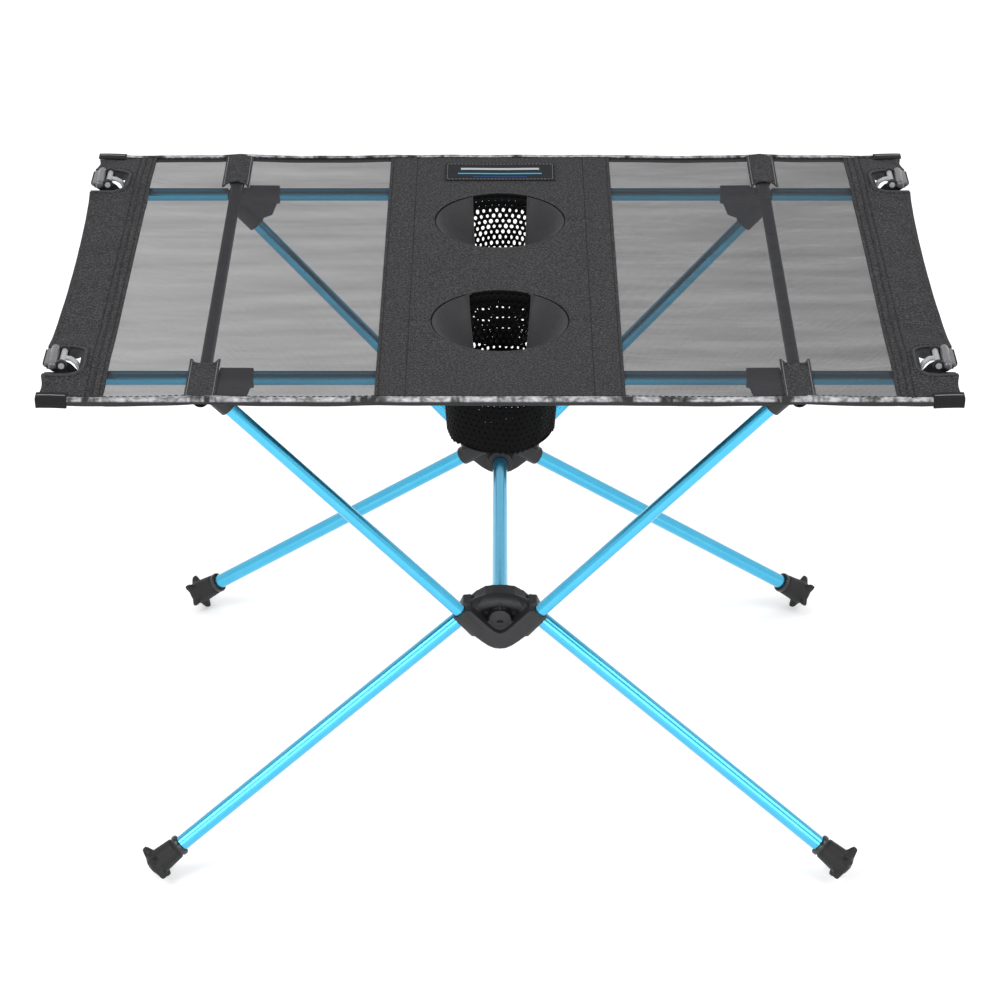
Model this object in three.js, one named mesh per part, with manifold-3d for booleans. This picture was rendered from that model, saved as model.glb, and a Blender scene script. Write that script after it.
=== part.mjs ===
// Folding camp table: shock-corded alloy frame, two plastic hubs, fabric top with two net cup holders.
// Millimetres, +Z up. X runs along the long side, Y across, origin on the floor under the middle of the top.
import * as THREE from 'three';
import { ConvexGeometry } from 'three/addons/geometries/ConvexGeometry.js';
import { mergeVertices } from 'three/addons/utils/BufferGeometryUtils.js';
import Module from 'manifold-3d';

const wasm = await Module();
wasm.setup();

// ---- driving dimensions ----
const TOP_LENGTH = 600;        // along X
const TOP_WIDTH = 400;         // along Y
const TOP_HEIGHT = 387;        // upper face of the canvas above the floor
const CLOTH = 1.1;             // canvas thickness
const BINDING = 3;             // thickness of the long edge bindings
const BINDING_HEIGHT = 4.8;
const CENTRE_WIDTH = 163;      // canvas panel between the two mesh panels
const END_WIDTH = 43;          // canvas panel at each short end
const CUP_OPENING = 94;        // diameter of each cup opening
const CUP_DEPTH = 79;          // how far the net hangs
const RAIL_OFFSET = 149;       // long rails, from the middle along Y
const RAIL_RADIUS = 4.75;
const POLE_RADIUS = 4.25;      // cross poles
const POLE_OFFSET = 194.5;     // cross poles, from the middle along X
const STRUT_RADIUS = 4.75;
const LEG_RADIUS = 5.5;
const SPREADER_RADIUS = 5.5;
const HUB_HEIGHT = 177;        // spreader axis above the floor
const HUB_OFFSET = 126;        // outer face of the hub's boss, from the middle along Y
const FOOT_SPREAD_X = 224;     // where the leg enters its foot
const FOOT_SPREAD_Y = 181;
const FOOT_LENGTH = 28;
const FOOT_RADIUS = 13;
const NOTCH_WIDTH = 41;        // buckle notches in the end panels
const NOTCH_DEPTH = 27;
const GAP = 0.3;
const SIDES = 16;

// levels that follow from the ones above
const CLOTH_UNDER = TOP_HEIGHT - CLOTH;
const POLE_Z = CLOTH_UNDER - 0.35 - POLE_RADIUS;
const RAIL_Z = POLE_Z - 4.3;
const HALF_L = TOP_LENGTH / 2;
const HALF_W = TOP_WIDTH / 2;
const CUP_OFFSET = RAIL_OFFSET - CUP_OPENING / 2 - 20;   // centre of each cup opening, clear of the rail
const END_INNER = HALF_L - END_WIDTH;
const CENTRE_HALF = CENTRE_WIDTH / 2;
const BUCKLE_OFFSET = RAIL_OFFSET - 2;   // buckles sit a little inside the rails
const BUCKLE_Z = TOP_HEIGHT + 4;         // and ride just above the fabric
const TBAR_X = HALF_L - 12.5;
const POLE_END = HALF_W - 13;              // cross poles stop inside their pockets

const V = (x, y, z) => new THREE.Vector3(x, y, z);

// ---- solids ----
function solid(geometry) {
  const g = geometry.clone();
  for (const name of Object.keys(g.attributes)) if (name !== 'position') g.deleteAttribute(name);
  const m = mergeVertices(g, 1e-4);
  const tri = Uint32Array.from(m.index.array);
  const keep = [];
  for (let i = 0; i < tri.length; i += 3) {
    if (tri[i] !== tri[i + 1] && tri[i + 1] !== tri[i + 2] && tri[i] !== tri[i + 2]) keep.push(tri[i], tri[i + 1], tri[i + 2]);
  }
  const pos = m.attributes.position;
  const at = (k) => V(pos.getX(k), pos.getY(k), pos.getZ(k));
  let volume = 0;
  for (let i = 0; i < keep.length; i += 3) volume += at(keep[i]).dot(at(keep[i + 1]).cross(at(keep[i + 2])));
  if (volume < 0) for (let i = 0; i < keep.length; i += 3) [keep[i + 1], keep[i + 2]] = [keep[i + 2], keep[i + 1]];
  return new wasm.Manifold(new wasm.Mesh({ numProp: 3, vertProperties: Float32Array.from(pos.array), triVerts: Uint32Array.from(keep) }));
}
function geometryOf(manifold) {
  const mesh = manifold.getMesh();
  const g = new THREE.BufferGeometry();
  g.setAttribute('position', new THREE.BufferAttribute(Float32Array.from(mesh.vertProperties), 3));
  g.setIndex(new THREE.BufferAttribute(Uint32Array.from(mesh.triVerts), 1));
  g.computeVertexNormals();
  return g;
}
const join = (list) => list.reduce((a, b) => a.add(b));
const cut = (a, list) => list.reduce((x, b) => x.subtract(b), a);

// A frame whose Y runs from p to q, with its Z kept as close to world up as it can be.
function alongAxis(p, q) {
  const y = q.clone().sub(p).normalize();
  const up = Math.abs(y.z) > 0.999 ? V(1, 0, 0) : V(0, 0, 1);
  const x = y.clone().cross(up).normalize();
  const z = x.clone().cross(y).normalize();
  return new THREE.Matrix4().makeBasis(x, y, z).setPosition(p);
}
function turned(profile, p, q, sides = SIDES) {
  const g = new THREE.LatheGeometry(profile.map(([r, h]) => new THREE.Vector2(r, h)), sides);
  g.applyMatrix4(alongAxis(p, q));
  return solid(g);
}
const rod = (p, q, r1, r2 = r1, sides = SIDES) => turned([[0, 0], [r1, 0], [r2, p.distanceTo(q)], [0, p.distanceTo(q)]], p, q, sides);
const pipe = (p, q, outer, inner, sides = SIDES) => {
  const l = p.distanceTo(q);
  return turned([[inner, 0], [outer, 0], [outer, l], [inner, l], [inner, 0]], p, q, sides);
};
const box = (x0, x1, y0, y1, z0, z1) => {
  const g = new THREE.BoxGeometry(Math.abs(x1 - x0), Math.abs(y1 - y0), Math.abs(z1 - z0));
  g.translate((x0 + x1) / 2, (y0 + y1) / 2, (z0 + z1) / 2);
  return solid(g);
};
const hull = (points) => solid(new ConvexGeometry(points));
function shapeOf(points) {
  return new THREE.Shape(points.map(([a, b]) => new THREE.Vector2(a, b)));
}
// Outline in X and Y, thickness along Z.
function slab(points, z0, z1) {
  const g = new THREE.ExtrudeGeometry(shapeOf(points), { depth: z1 - z0, bevelEnabled: false, curveSegments: 8 });
  g.translate(0, 0, z0);
  return solid(g);
}
// Outline in X and Z, thickness along Y.
function plate(points, y0, y1) {
  const g = new THREE.ExtrudeGeometry(shapeOf(points), { depth: y1 - y0, bevelEnabled: false, curveSegments: 8 });
  g.rotateX(Math.PI / 2);
  g.translate(0, y1, 0);
  return solid(g);
}
function ring(p, direction, r, n = 8) {
  const m = alongAxis(p, p.clone().add(direction));
  return Array.from({ length: n }, (_, k) => {
    const a = (2 * Math.PI * k) / n;
    return V(r * Math.cos(a), 0, r * Math.sin(a)).applyMatrix4(m);
  });
}

// ---- materials ----
const anodised = () => new THREE.MeshStandardMaterial({ color: 0x2aa6dc, roughness: 0.3, metalness: 0.85 });
const blackTube = () => new THREE.MeshStandardMaterial({ color: 0x2e3033, roughness: 0.4, metalness: 0.6 });
const plastic = () => new THREE.MeshStandardMaterial({ color: 0x2b2b2d, roughness: 0.6, metalness: 0 });
const greyPlastic = () => new THREE.MeshStandardMaterial({ color: 0x6b6d70, roughness: 0.35, metalness: 0 });
const rubber = () => new THREE.MeshStandardMaterial({ color: 0x1b1b1c, roughness: 0.8, metalness: 0 });
const canvas = () => new THREE.MeshStandardMaterial({ color: 0x3b3b3c, roughness: 0.9, metalness: 0 });
const mesh = () => new THREE.MeshStandardMaterial({ color: 0x6f6f70, roughness: 0.85, metalness: 0 });
const net = () => new THREE.MeshStandardMaterial({ color: 0x151515, roughness: 0.85, metalness: 0 });
const webbing = () => new THREE.MeshStandardMaterial({ color: 0x1d1d1e, roughness: 0.85, metalness: 0 });
const cord = () => new THREE.MeshStandardMaterial({ color: 0x202224, roughness: 0.8, metalness: 0 });

const group = new THREE.Group();
function put(name, manifold, material) {
  const m = new THREE.Mesh(geometryOf(manifold), material);
  m.name = name;
  group.add(m);
}
// Pieces are drawn for the front left quarter (x < 0, y < 0) and mirrored to the others.
const QUARTERS = [['front_left', 1, 1], ['front_right', -1, 1], ['rear_left', 1, -1], ['rear_right', -1, -1]];
const SIDES_XY = { left: [1, 1], right: [-1, 1], front: [1, 1], rear: [1, -1] };
function mirrored(manifold, sx, sy) {
  const g = geometryOf(manifold);
  g.scale(sx, sy, 1);
  return solid(g);
}

// ---- the axes of the legs and struts ----
const legOuter = V(-FOOT_SPREAD_X, -FOOT_SPREAD_Y, 26);
const legMouth = V(-28, -(HUB_OFFSET - 7), HUB_HEIGHT - 3);
const legDir = legOuter.clone().sub(legMouth).normalize();
const legInner = legMouth.clone().addScaledVector(legDir, -19.5);
const strutMouth = V(-27.5, -(HUB_OFFSET + 7.5), HUB_HEIGHT + 11);
const strutTop = V(-(POLE_OFFSET - 2.5), -(RAIL_OFFSET - 0.7), RAIL_Z - 9.8);
const strutDir = strutTop.clone().sub(strutMouth).normalize();
const strutInner = strutMouth.clone().addScaledVector(strutDir, -18);

// ---- tubes ----
put('spreader_tube', pipe(V(0, -(HUB_OFFSET - 5), HUB_HEIGHT), V(0, HUB_OFFSET - 5, HUB_HEIGHT), SPREADER_RADIUS, SPREADER_RADIUS - 0.9), anodised());
const footSeat = legOuter.clone().addScaledVector(legDir, 15);
const leg = pipe(legInner, footSeat, LEG_RADIUS, LEG_RADIUS - 0.9);
const strut = pipe(strutInner, strutTop, STRUT_RADIUS, STRUT_RADIUS - 0.8);
const socketX = POLE_OFFSET - 6.5;      // where the middle rail ends inside its joint
const railEndStart = POLE_OFFSET + 6;
const railEndStop = HALF_L - 32;
const railEnd = pipe(V(-railEndStart, -RAIL_OFFSET, RAIL_Z), V(-railEndStop, -RAIL_OFFSET, RAIL_Z), RAIL_RADIUS, RAIL_RADIUS - 0.75);
for (const [q, sx, sy] of QUARTERS) {
  put(`leg_tube_${q}`, mirrored(leg, sx, sy), anodised());
  put(`strut_tube_${q}`, mirrored(strut, sx, sy), anodised());
  put(`rail_end_${q}`, mirrored(railEnd, sx, sy), anodised());
}
for (const side of ['front', 'rear']) {
  const y = side === 'front' ? -RAIL_OFFSET : RAIL_OFFSET;
  put(`rail_centre_${side}`, pipe(V(-socketX, y, RAIL_Z), V(socketX, y, RAIL_Z), RAIL_RADIUS, RAIL_RADIUS - 0.75), anodised());
}
for (const side of ['left', 'right']) {
  const x = side === 'left' ? -POLE_OFFSET : POLE_OFFSET;
  put(`cross_pole_${side}`, pipe(V(x, -POLE_END, POLE_Z), V(x, POLE_END, POLE_Z), POLE_RADIUS, POLE_RADIUS - 0.75), blackTube());
}

// ---- shock cords: one runs through both legs of a hub ----
const CORD_RADIUS = 1.5;
const cordFar = legOuter.clone().addScaledVector(legDir, 8);
const cordNear = V(-9, legInner.y, legInner.z + 2.4);
function cordSolid() {
  const half = (sx) => join([
    rod(V(sx * -cordFar.x, cordFar.y, cordFar.z), V(sx * -legInner.x, legInner.y, legInner.z), CORD_RADIUS, CORD_RADIUS, 6),
    hull([...ring(V(sx * -legInner.x, legInner.y, legInner.z), V(sx * legDir.x, -legDir.y, -legDir.z), CORD_RADIUS, 6), ...ring(V(sx * 9, cordNear.y, cordNear.z), V(1, 0, 0), CORD_RADIUS, 6)]),
  ]);
  return join([half(-1), half(1), rod(V(-9, cordNear.y, cordNear.z), V(9, cordNear.y, cordNear.z), CORD_RADIUS, CORD_RADIUS, 6)]);
}
put('shock_cord_front', cordSolid(), cord());
put('shock_cord_rear', mirrored(cordSolid(), 1, -1), cord());

// ---- hub: two strut sockets in a V on the outer layer, two leg sockets in an arch on the inner layer ----
function hubSolid() {
  const both = (f) => [f(1), f(-1)];
  const flip = (p, s) => V(p.x * s, p.y, p.z);
  const bandFace = -(HUB_OFFSET + 13);
  const webOuter = -(HUB_OFFSET - 5);
  const webInner = -(HUB_OFFSET - 14);
  const z = (h) => HUB_HEIGHT + h;
  const vBand = [[0, z(-17)], [7.3, z(-15.2)], [13.5, z(-10.8)], [21.1, z(-3)], [30, z(5)], [25, z(14.5)], [19.7, z(13.5)], [5.9, z(1.5)], [0, z(-4.5)]];
  const mirrorX = (pts) => [...pts, ...pts.slice(1, -1).reverse().map(([a, b]) => [-a, b])];
  const web = [[0, z(20.5)], [10.1, z(19.5)], [19.9, z(11.5)], [29, z(4.5)], [21.1, z(-3)], [13.5, z(-10.8)], [7.3, z(-15.2)], [0, z(-17)]];
  const parts = [
    plate(mirrorX(vBand), bandFace, webInner),
    plate(mirrorX(web), webOuter, webInner),
    ...both((s) => rod(flip(strutInner.clone().addScaledVector(strutDir, -1), s), flip(strutMouth.clone().addScaledVector(strutDir, 0.5), s), 8, 7.2, 12)),
    ...both((s) => rod(flip(legInner.clone().addScaledVector(legDir, -2.5), s), flip(legMouth.clone().addScaledVector(legDir, 0.5), s), 8.6, 7.9, 12)),
    rod(V(0, webOuter - 0.5 + 1, HUB_HEIGHT), V(0, -HUB_OFFSET, HUB_HEIGHT), 8, 8, 12),
    rod(V(0, webInner - 1, HUB_HEIGHT), V(0, -(HUB_OFFSET - 25), HUB_HEIGHT), 9.5, 9.5, 12),
    box(-0.9, 0.9, -(HUB_OFFSET - 1), webOuter + 1, z(6), z(17)),
    plate([[-8, z(14)], [8, z(14)], [10.1, z(19.5)], [0, z(20.5)], [-10.1, z(19.5)]], -(HUB_OFFSET - 4), -(HUB_OFFSET - 17)),
  ];
  const bores = [
    ...both((s) => rod(flip(strutInner.clone().addScaledVector(strutDir, -GAP), s), flip(strutMouth.clone().addScaledVector(strutDir, 20), s), STRUT_RADIUS + 0.35)),
    ...both((s) => rod(flip(legInner.clone().addScaledVector(legDir, -GAP), s), flip(legMouth.clone().addScaledVector(legDir, 20), s), LEG_RADIUS + 0.35)),
    rod(V(0, -(HUB_OFFSET - 5 + GAP), HUB_HEIGHT), V(0, -(HUB_OFFSET - 40), HUB_HEIGHT), SPREADER_RADIUS + 0.35),
    rod(V(-10, cordNear.y, cordNear.z), V(10, cordNear.y, cordNear.z), CORD_RADIUS + 0.6, CORD_RADIUS + 0.6, 8),
    ...both((s) => hull([
      ...ring(flip(legInner.clone().addScaledVector(legDir, 1), s), flip(legDir, s).negate(), CORD_RADIUS + 0.6, 8),
      ...ring(V(-8 * s, cordNear.y, cordNear.z), V(s, 0, 0), CORD_RADIUS + 0.6, 8),
    ])),
    rod(V(0, -HUB_OFFSET + 1.6, z(-1)), V(0, -HUB_OFFSET - 1, z(-1)), 1.8, 2.6, 8),
  ];
  return cut(join(parts), bores);
}
put('hub_front', hubSolid(), plastic());
put('hub_rear', mirrored(hubSolid(), 1, -1), plastic());

// ---- feet: a rubber cup on the end of each leg, with a five-lobed crown trimmed flat where it stands ----
function footSolid() {
  const m = alongAxis(legOuter, legOuter.clone().add(legDir));
  const at = (s) => legOuter.clone().addScaledVector(legDir, s);
  const crown = [];
  for (let k = 0; k < 5; k++) {
    const a = -Math.PI / 2 + (2 * Math.PI * k) / 5;
    const p0 = V(8.2 * Math.cos(a), 15, 8.2 * Math.sin(a)).applyMatrix4(m);
    const p1 = V((FOOT_RADIUS - 4.2) * Math.cos(a), FOOT_LENGTH, (FOOT_RADIUS - 4.2) * Math.sin(a)).applyMatrix4(m);
    crown.push(rod(p0, p1, 2.4, 4.2, 6));
  }
  const body = join([
    turned([[0, 0], [7.4, 0], [7.4, 3.2], [6.9, 3.2], [8.2, 14], [10.4, FOOT_LENGTH], [0, FOOT_LENGTH]], legOuter, at(FOOT_LENGTH), 12),
    ...crown,
  ]);
  const cupBore = rod(at(-1), at(15 + GAP), LEG_RADIUS + 0.35);
  const floor = box(-FOOT_SPREAD_X - 80, 0, -FOOT_SPREAD_Y - 80, 0, -40, 0);
  return cut(body, [cupBore, floor]);
}
for (const [q, sx, sy] of QUARTERS) put(`foot_${q}`, mirrored(footSolid(), sx, sy), rubber());

// ---- rail joints: carry the rail, the cross pole and the top of the strut ----
function jointSolid() {
  const y = -RAIL_OFFSET;
  const x = (v) => -(POLE_OFFSET + v);
  const strutBase = strutTop.clone().addScaledVector(strutDir, -18);
  const collar = rod(V(x(-32), y, RAIL_Z), V(x(-10), y, RAIL_Z), 6.9, 6.9, 12);
  const saddle = box(x(-12), x(5.6), y - 6.6, y + 6.6, RAIL_Z - 5.8, RAIL_Z + 3.4);
  const socket = rod(strutTop.clone().addScaledVector(strutDir, 1.6), strutBase, 7, 6.9, 12);
  const gusset = hull([
    V(x(-31), y - 4, RAIL_Z - 3), V(x(-31), y + 4, RAIL_Z - 3), V(x(5), y - 5, RAIL_Z - 3), V(x(5), y + 5, RAIL_Z - 3),
    V(x(-26), y - 4, RAIL_Z - 15), V(x(-26), y + 4, RAIL_Z - 15),
    V(strutBase.x + 4, strutBase.y - 4, strutBase.z + 6), V(strutBase.x + 4, strutBase.y + 4, strutBase.z + 6),
    V(x(2), y - 5, RAIL_Z - 9), V(x(2), y + 5, RAIL_Z - 9),
  ]);
  const spigot = rod(V(x(4), y, RAIL_Z), V(-(railEndStart + 17), y, RAIL_Z), RAIL_RADIUS - 0.75 - 0.35, RAIL_RADIUS - 0.75 - 0.35, 10);
  const bores = [
    rod(V(-(socketX + GAP), y, RAIL_Z), V(x(-60), y, RAIL_Z), RAIL_RADIUS + 0.35),
    rod(V(-POLE_OFFSET, y - 30, POLE_Z), V(-POLE_OFFSET, y + 30, POLE_Z), POLE_RADIUS + 0.35),
    box(-(POLE_OFFSET + 4.3), -(POLE_OFFSET - 4.3), y - 30, y + 30, POLE_Z, POLE_Z + 12),
    rod(strutTop.clone().addScaledVector(strutDir, GAP), strutBase.clone().addScaledVector(strutDir, -30), STRUT_RADIUS + 0.35),
  ];
  return cut(join([collar, saddle, socket, gusset, spigot]), bores);
}
for (const [q, sx, sy] of QUARTERS) put(`rail_joint_${q}`, mirrored(jointSolid(), sx, sy), plastic());

// ---- rail tips: a plug in the end of the rail with an arm up to the cross bar that the buckle hooks over ----
const TBAR_RADIUS = 2.1;
const TBAR_HALF = 13;
function tipSolid() {
  const y = -RAIL_OFFSET;
  const by = -BUCKLE_OFFSET;
  const arm = [];
  for (const dy of [-3.2, 3.2]) {
    for (const dz of [-2.6, 1.9]) arm.push(V(-(railEndStop + 2), y + dy, RAIL_Z + dz), V(-(railEndStop + 4), y + dy, RAIL_Z + dz));
    for (const dz of [-1.9, 1.9]) arm.push(V(-TBAR_X, by + dy, BUCKLE_Z + dz), V(-(TBAR_X - 2.5), by + dy, BUCKLE_Z + dz));
  }
  return join([
    rod(V(-(railEndStop - 14), y, RAIL_Z), V(-(railEndStop + 1), y, RAIL_Z), RAIL_RADIUS - 0.75 - 0.35, RAIL_RADIUS - 0.75 - 0.35, 10),
    rod(V(-(railEndStop + GAP), y, RAIL_Z), V(-(railEndStop + 4), y, RAIL_Z), RAIL_RADIUS + 0.6, RAIL_RADIUS + 0.6, 12),
    hull(arm),
    rod(V(-TBAR_X, by - TBAR_HALF, BUCKLE_Z), V(-TBAR_X, by + TBAR_HALF, BUCKLE_Z), TBAR_RADIUS, TBAR_RADIUS, 10),
  ]);
}
for (const [q, sx, sy] of QUARTERS) put(`rail_tip_${q}`, mirrored(tipSolid(), sx, sy), greyPlastic());

// ---- tension buckles: a round-backed lever with two hooks over the cross bar and a slot for the webbing ----
const LEVER_X = HALF_L - 6.4;
const LIP_X = HALF_L - 2.6;
function buckleSolid() {
  const y = -BUCKLE_OFFSET;
  const z = BUCKLE_Z;
  const arm = (s) => {
    const a = y + s * 9.4;
    const b = y + s * 12.6;
    return cut(join([
      rod(V(-TBAR_X, Math.min(a, b), z), V(-TBAR_X, Math.max(a, b), z), TBAR_RADIUS + 2, TBAR_RADIUS + 2, 10),
      box(-TBAR_X, -LIP_X, a, b, z - 1.6, z + 1.6),
    ]), [rod(V(-TBAR_X, y - 20, z), V(-TBAR_X, y + 20, z), TBAR_RADIUS + 0.35, TBAR_RADIUS + 0.35, 10)]);
  };
  return join([
    arm(-1), arm(1),
    rod(V(-LEVER_X, y - 14, z + 0.4), V(-LEVER_X, y + 14, z + 0.4), 3, 3, 10),
    rod(V(-LIP_X, y - 13, z), V(-LIP_X, y + 13, z), 1.2, 1.2, 8),
  ]);
}
// ---- straps: webbing hung from the end panel on both sides of the rail, led under it and folded over the outer bar of the buckle ----
function strapSolid() {
  const y = -BUCKLE_OFFSET;
  const z = BUCKLE_Z;
  const t = 1.2;
  const low = RAIL_Z - RAIL_RADIUS - 0.6 - 1.3;
  const under = CLOTH_UNDER - GAP;
  const x0 = railEndStop - 7;
  const line = [[-x0, low], [-(x0 + 14), low], [-(TBAR_X - 3.5), z - 9], [-(LEVER_X + 0.4), z - 5.4], [-(LIP_X + 0.4), z - 2.1]];
  const parts = [];
  for (let k = 0; k + 1 < line.length; k++) {
    const pts = [];
    for (const [px, pz] of [line[k], line[k + 1]]) for (const dy of [-9, 9]) for (const dz of [-t / 2, t / 2]) pts.push(V(px, y + dy, pz + dz));
    parts.push(hull(pts));
  }
  for (const s of [-1, 1]) {
    parts.push(box(-x0, -(x0 + 12), y + s * 7.8, y + s * 9, low, under));
    parts.push(box(-x0, -(x0 + 12), y + s * 7.8, y + s * 15, under - t, under));
  }
  const fold = pipe(V(-LIP_X, y - 9, z), V(-LIP_X, y + 9, z), 2.6, 1.55, 12);
  parts.push(cut(fold, [box(-LIP_X, -(LIP_X - 10), y - 20, y + 20, z - 10, z + 10)]));
  return cut(join(parts), [rod(V(-LIP_X, y - 20, z), V(-LIP_X, y + 20, z), 1.55, 1.55, 12)]);
}
for (const [q, sx, sy] of QUARTERS) {
  put(`buckle_${q}`, mirrored(buckleSolid(), sx, sy), greyPlastic());
  put(`strap_${q}`, mirrored(strapSolid(), sx, sy), webbing());
}

// ---- fabric top ----
const clothY = HALF_W - BINDING - GAP;
function circle(cx, cy, r, n) {
  return Array.from({ length: n }, (_, k) => [cx + r * Math.cos((2 * Math.PI * k) / n), cy + r * Math.sin((2 * Math.PI * k) / n)]);
}
{
  const g = new THREE.ExtrudeGeometry((() => {
    const s = shapeOf([[-CENTRE_HALF, -clothY], [CENTRE_HALF, -clothY], [CENTRE_HALF, clothY], [-CENTRE_HALF, clothY]]);
    for (const y of [-CUP_OFFSET, CUP_OFFSET]) s.holes.push(new THREE.Path(circle(0, y, CUP_OPENING / 2, 32).map(([a, b]) => new THREE.Vector2(a, b))));
    return s;
  })(), { depth: CLOTH, bevelEnabled: false });
  g.translate(0, 0, CLOTH_UNDER);
  put('centre_panel', solid(g), canvas());
}
const POCKET_HALF = 10.5;
const POCKET_LENGTH = clothY - RAIL_OFFSET + 8.3;   // from the hem to just past the rail
{
  const x0 = CENTRE_HALF + GAP;
  const x1 = END_INNER - GAP;
  const a = POLE_OFFSET - POCKET_HALF - GAP;
  const b = POLE_OFFSET + POCKET_HALF + GAP;
  const n = clothY - POCKET_LENGTH - GAP;
  const m = slab([[-x1, -clothY], [-b, -clothY], [-b, -n], [-a, -n], [-a, -clothY], [-x0, -clothY], [-x0, clothY], [-a, clothY], [-a, n], [-b, n], [-b, clothY], [-x1, clothY]], CLOTH_UNDER + 0.1, TOP_HEIGHT - 0.2);
  put('mesh_panel_left', m, mesh());
  put('mesh_panel_right', mirrored(m, -1, 1), mesh());
}
{
  const h = NOTCH_WIDTH / 2;
  const nx = HALF_L - NOTCH_DEPTH;
  const c = BUCKLE_OFFSET;
  // one side of a notch at a time, from the edge inwards and back out
  const notch = (s) => [[-HALF_L, s * c + h], [-(nx + 12), s * c + h], [-(nx + 3.5), s * c + h - 5.5], [-nx, s * c + h - 14],
    [-nx, s * c - h + 14], [-(nx + 3.5), s * c - h + 5.5], [-(nx + 12), s * c - h], [-HALF_L, s * c - h]];
  const outline = [[-HALF_L, -clothY], [-END_INNER, -clothY], [-END_INNER, clothY], [-HALF_L, clothY], ...notch(1), ...notch(-1)];
  const hem = (y0, y1) => box(-HALF_L, -(HALF_L - 2.4), y0, y1, CLOTH_UNDER - 3.6, CLOTH_UNDER + 0.2);
  const m = join([slab(outline, CLOTH_UNDER, TOP_HEIGHT), hem(-clothY, -(c + h)), hem(-(c - h), c - h), hem(c + h, clothY)]);
  put('end_panel_left', m, canvas());
  put('end_panel_right', mirrored(m, -1, 1), canvas());
}
{
  const m = box(-HALF_L, HALF_L, -HALF_W, -(HALF_W - BINDING), TOP_HEIGHT - BINDING_HEIGHT, TOP_HEIGHT);
  put('edge_binding_front', m, webbing());
  put('edge_binding_rear', mirrored(m, 1, -1), webbing());
}
// pole pockets: a sewn-on lid with a sling under it that holds the end of the cross pole
function pocketSolid() {
  const y0 = -clothY;
  const y1 = -(clothY - POCKET_LENGTH);
  const r = POLE_RADIUS + 0.35;
  const c = V(-POLE_OFFSET, 0, POLE_Z);
  const lid = box(-(POLE_OFFSET + POCKET_HALF), -(POLE_OFFSET - POCKET_HALF), y0, y1, CLOTH_UNDER, TOP_HEIGHT - 0.1);
  const drop = CLOTH_UNDER + 0.2;
  const outer = [[-(r + 3.2), drop], [-(r + 1), POLE_Z + 1], [-(r + 0.7), POLE_Z - 1.6], [-2.6, POLE_Z - r - 0.8], [2.6, POLE_Z - r - 0.8], [r + 0.7, POLE_Z - 1.6], [r + 1, POLE_Z + 1], [r + 3.2, drop]];
  const sling = plate(outer.map(([a, b]) => [a + c.x, b]), -(POLE_END + 2), -(RAIL_OFFSET + 9));
  const bore = rod(V(c.x, -(POLE_END + GAP), POLE_Z), V(c.x, y1 + 5, POLE_Z), r);
  const slot = box(c.x - 3.4, c.x + 3.4, -(POLE_END + GAP), y1 + 5, POLE_Z, CLOTH_UNDER);
  return cut(join([lid, sling]), [bore, slot]);
}
for (const [q, sx, sy] of QUARTERS) put(`pole_pocket_${q}`, mirrored(pocketSolid(), sx, sy), webbing());

// ---- cup holders: a rim with two fabric cheeks, a net wall and a base that can be pushed up ----
const RIM_RADIUS = CUP_OPENING / 2;
const NET_TOP = CLOTH_UNDER - 2.4;
const NET_BOTTOM = NET_TOP - CUP_DEPTH + 4;
function netSolid(cy) {
  const h = NET_TOP - NET_BOTTOM;
  return turned([[RIM_RADIUS - 5.2, 0], [RIM_RADIUS - 4, 0], [RIM_RADIUS - 1.6, h * 0.55], [RIM_RADIUS + 1.2, h], [RIM_RADIUS, h], [RIM_RADIUS - 2.8, h * 0.55], [RIM_RADIUS - 5.2, 0]], V(0, cy, NET_BOTTOM), V(0, cy, NET_TOP), 24);
}
function baseSolid(cy) {
  return rod(V(0, cy, NET_BOTTOM - 1), V(0, cy, NET_BOTTOM + 0.4), RIM_RADIUS - 5.7, RIM_RADIUS - 5.7, 24);
}
// The rim lies under the canvas round the opening. Each cheek hangs from it, leaning in.
function rimSolid(cy) {
  const z1 = CLOTH_UNDER - GAP;
  const rim = pipe(V(0, cy, z1 - 1.6), V(0, cy, z1), RIM_RADIUS + 2.6, RIM_RADIUS - 0.6, 24);
  const cheek = (s) => {
    const parts = [];
    const n = 4;
    const halfAngle = 1.02;
    const p = (k, r, z) => {
      const a = -halfAngle + (2 * halfAngle * k) / n;
      return V(s * r * Math.cos(a), cy + r * Math.sin(a), z);
    };
    for (let k = 0; k < n; k++) {
      const pts = [];
      for (const kk of [k, k + 1]) {
        const a = -halfAngle + (2 * halfAngle * kk) / n;
        const xr = (RIM_RADIUS - 0.2) * Math.cos(a);
        const yr = (RIM_RADIUS - 0.2) * Math.sin(a);
        const lean = Math.max(0, xr - 22);
        for (const d of [0, 0.9]) {
          pts.push(V(s * (xr - d), cy + yr, z1 - 0.3), V(s * (xr - d), cy + yr, z1 - 1.4));
          pts.push(V(s * (xr - d - lean), cy + yr * 0.93, z1 - 2 - lean * 0.9));
        }
      }
      parts.push(hull(pts));
    }
    return join(parts);
  };
  return join([rim, cheek(1), cheek(-1)]);
}
for (const [side, cy] of [['front', -CUP_OFFSET], ['rear', CUP_OFFSET]]) {
  put(`cup_rim_${side}`, rimSolid(cy), canvas());
  put(`cup_net_${side}`, netSolid(cy), net());
  put(`cup_base_${side}`, baseSolid(cy), net());
}

// ---- plain sewn label on the centre panel ----
put('label_patch', box(-40.5, 40.5, HALF_W - 49, HALF_W - 18, TOP_HEIGHT + GAP, TOP_HEIGHT + GAP + 0.6), webbing());

export default group;
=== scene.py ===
"""Looks of the folding camp table. Lengths are worked in millimetres and written in metres."""

import math

import bmesh
import bpy
import numpy as np
from mathutils import Matrix, Vector
from mathutils.geometry import delaunay_2d_cdt


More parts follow.
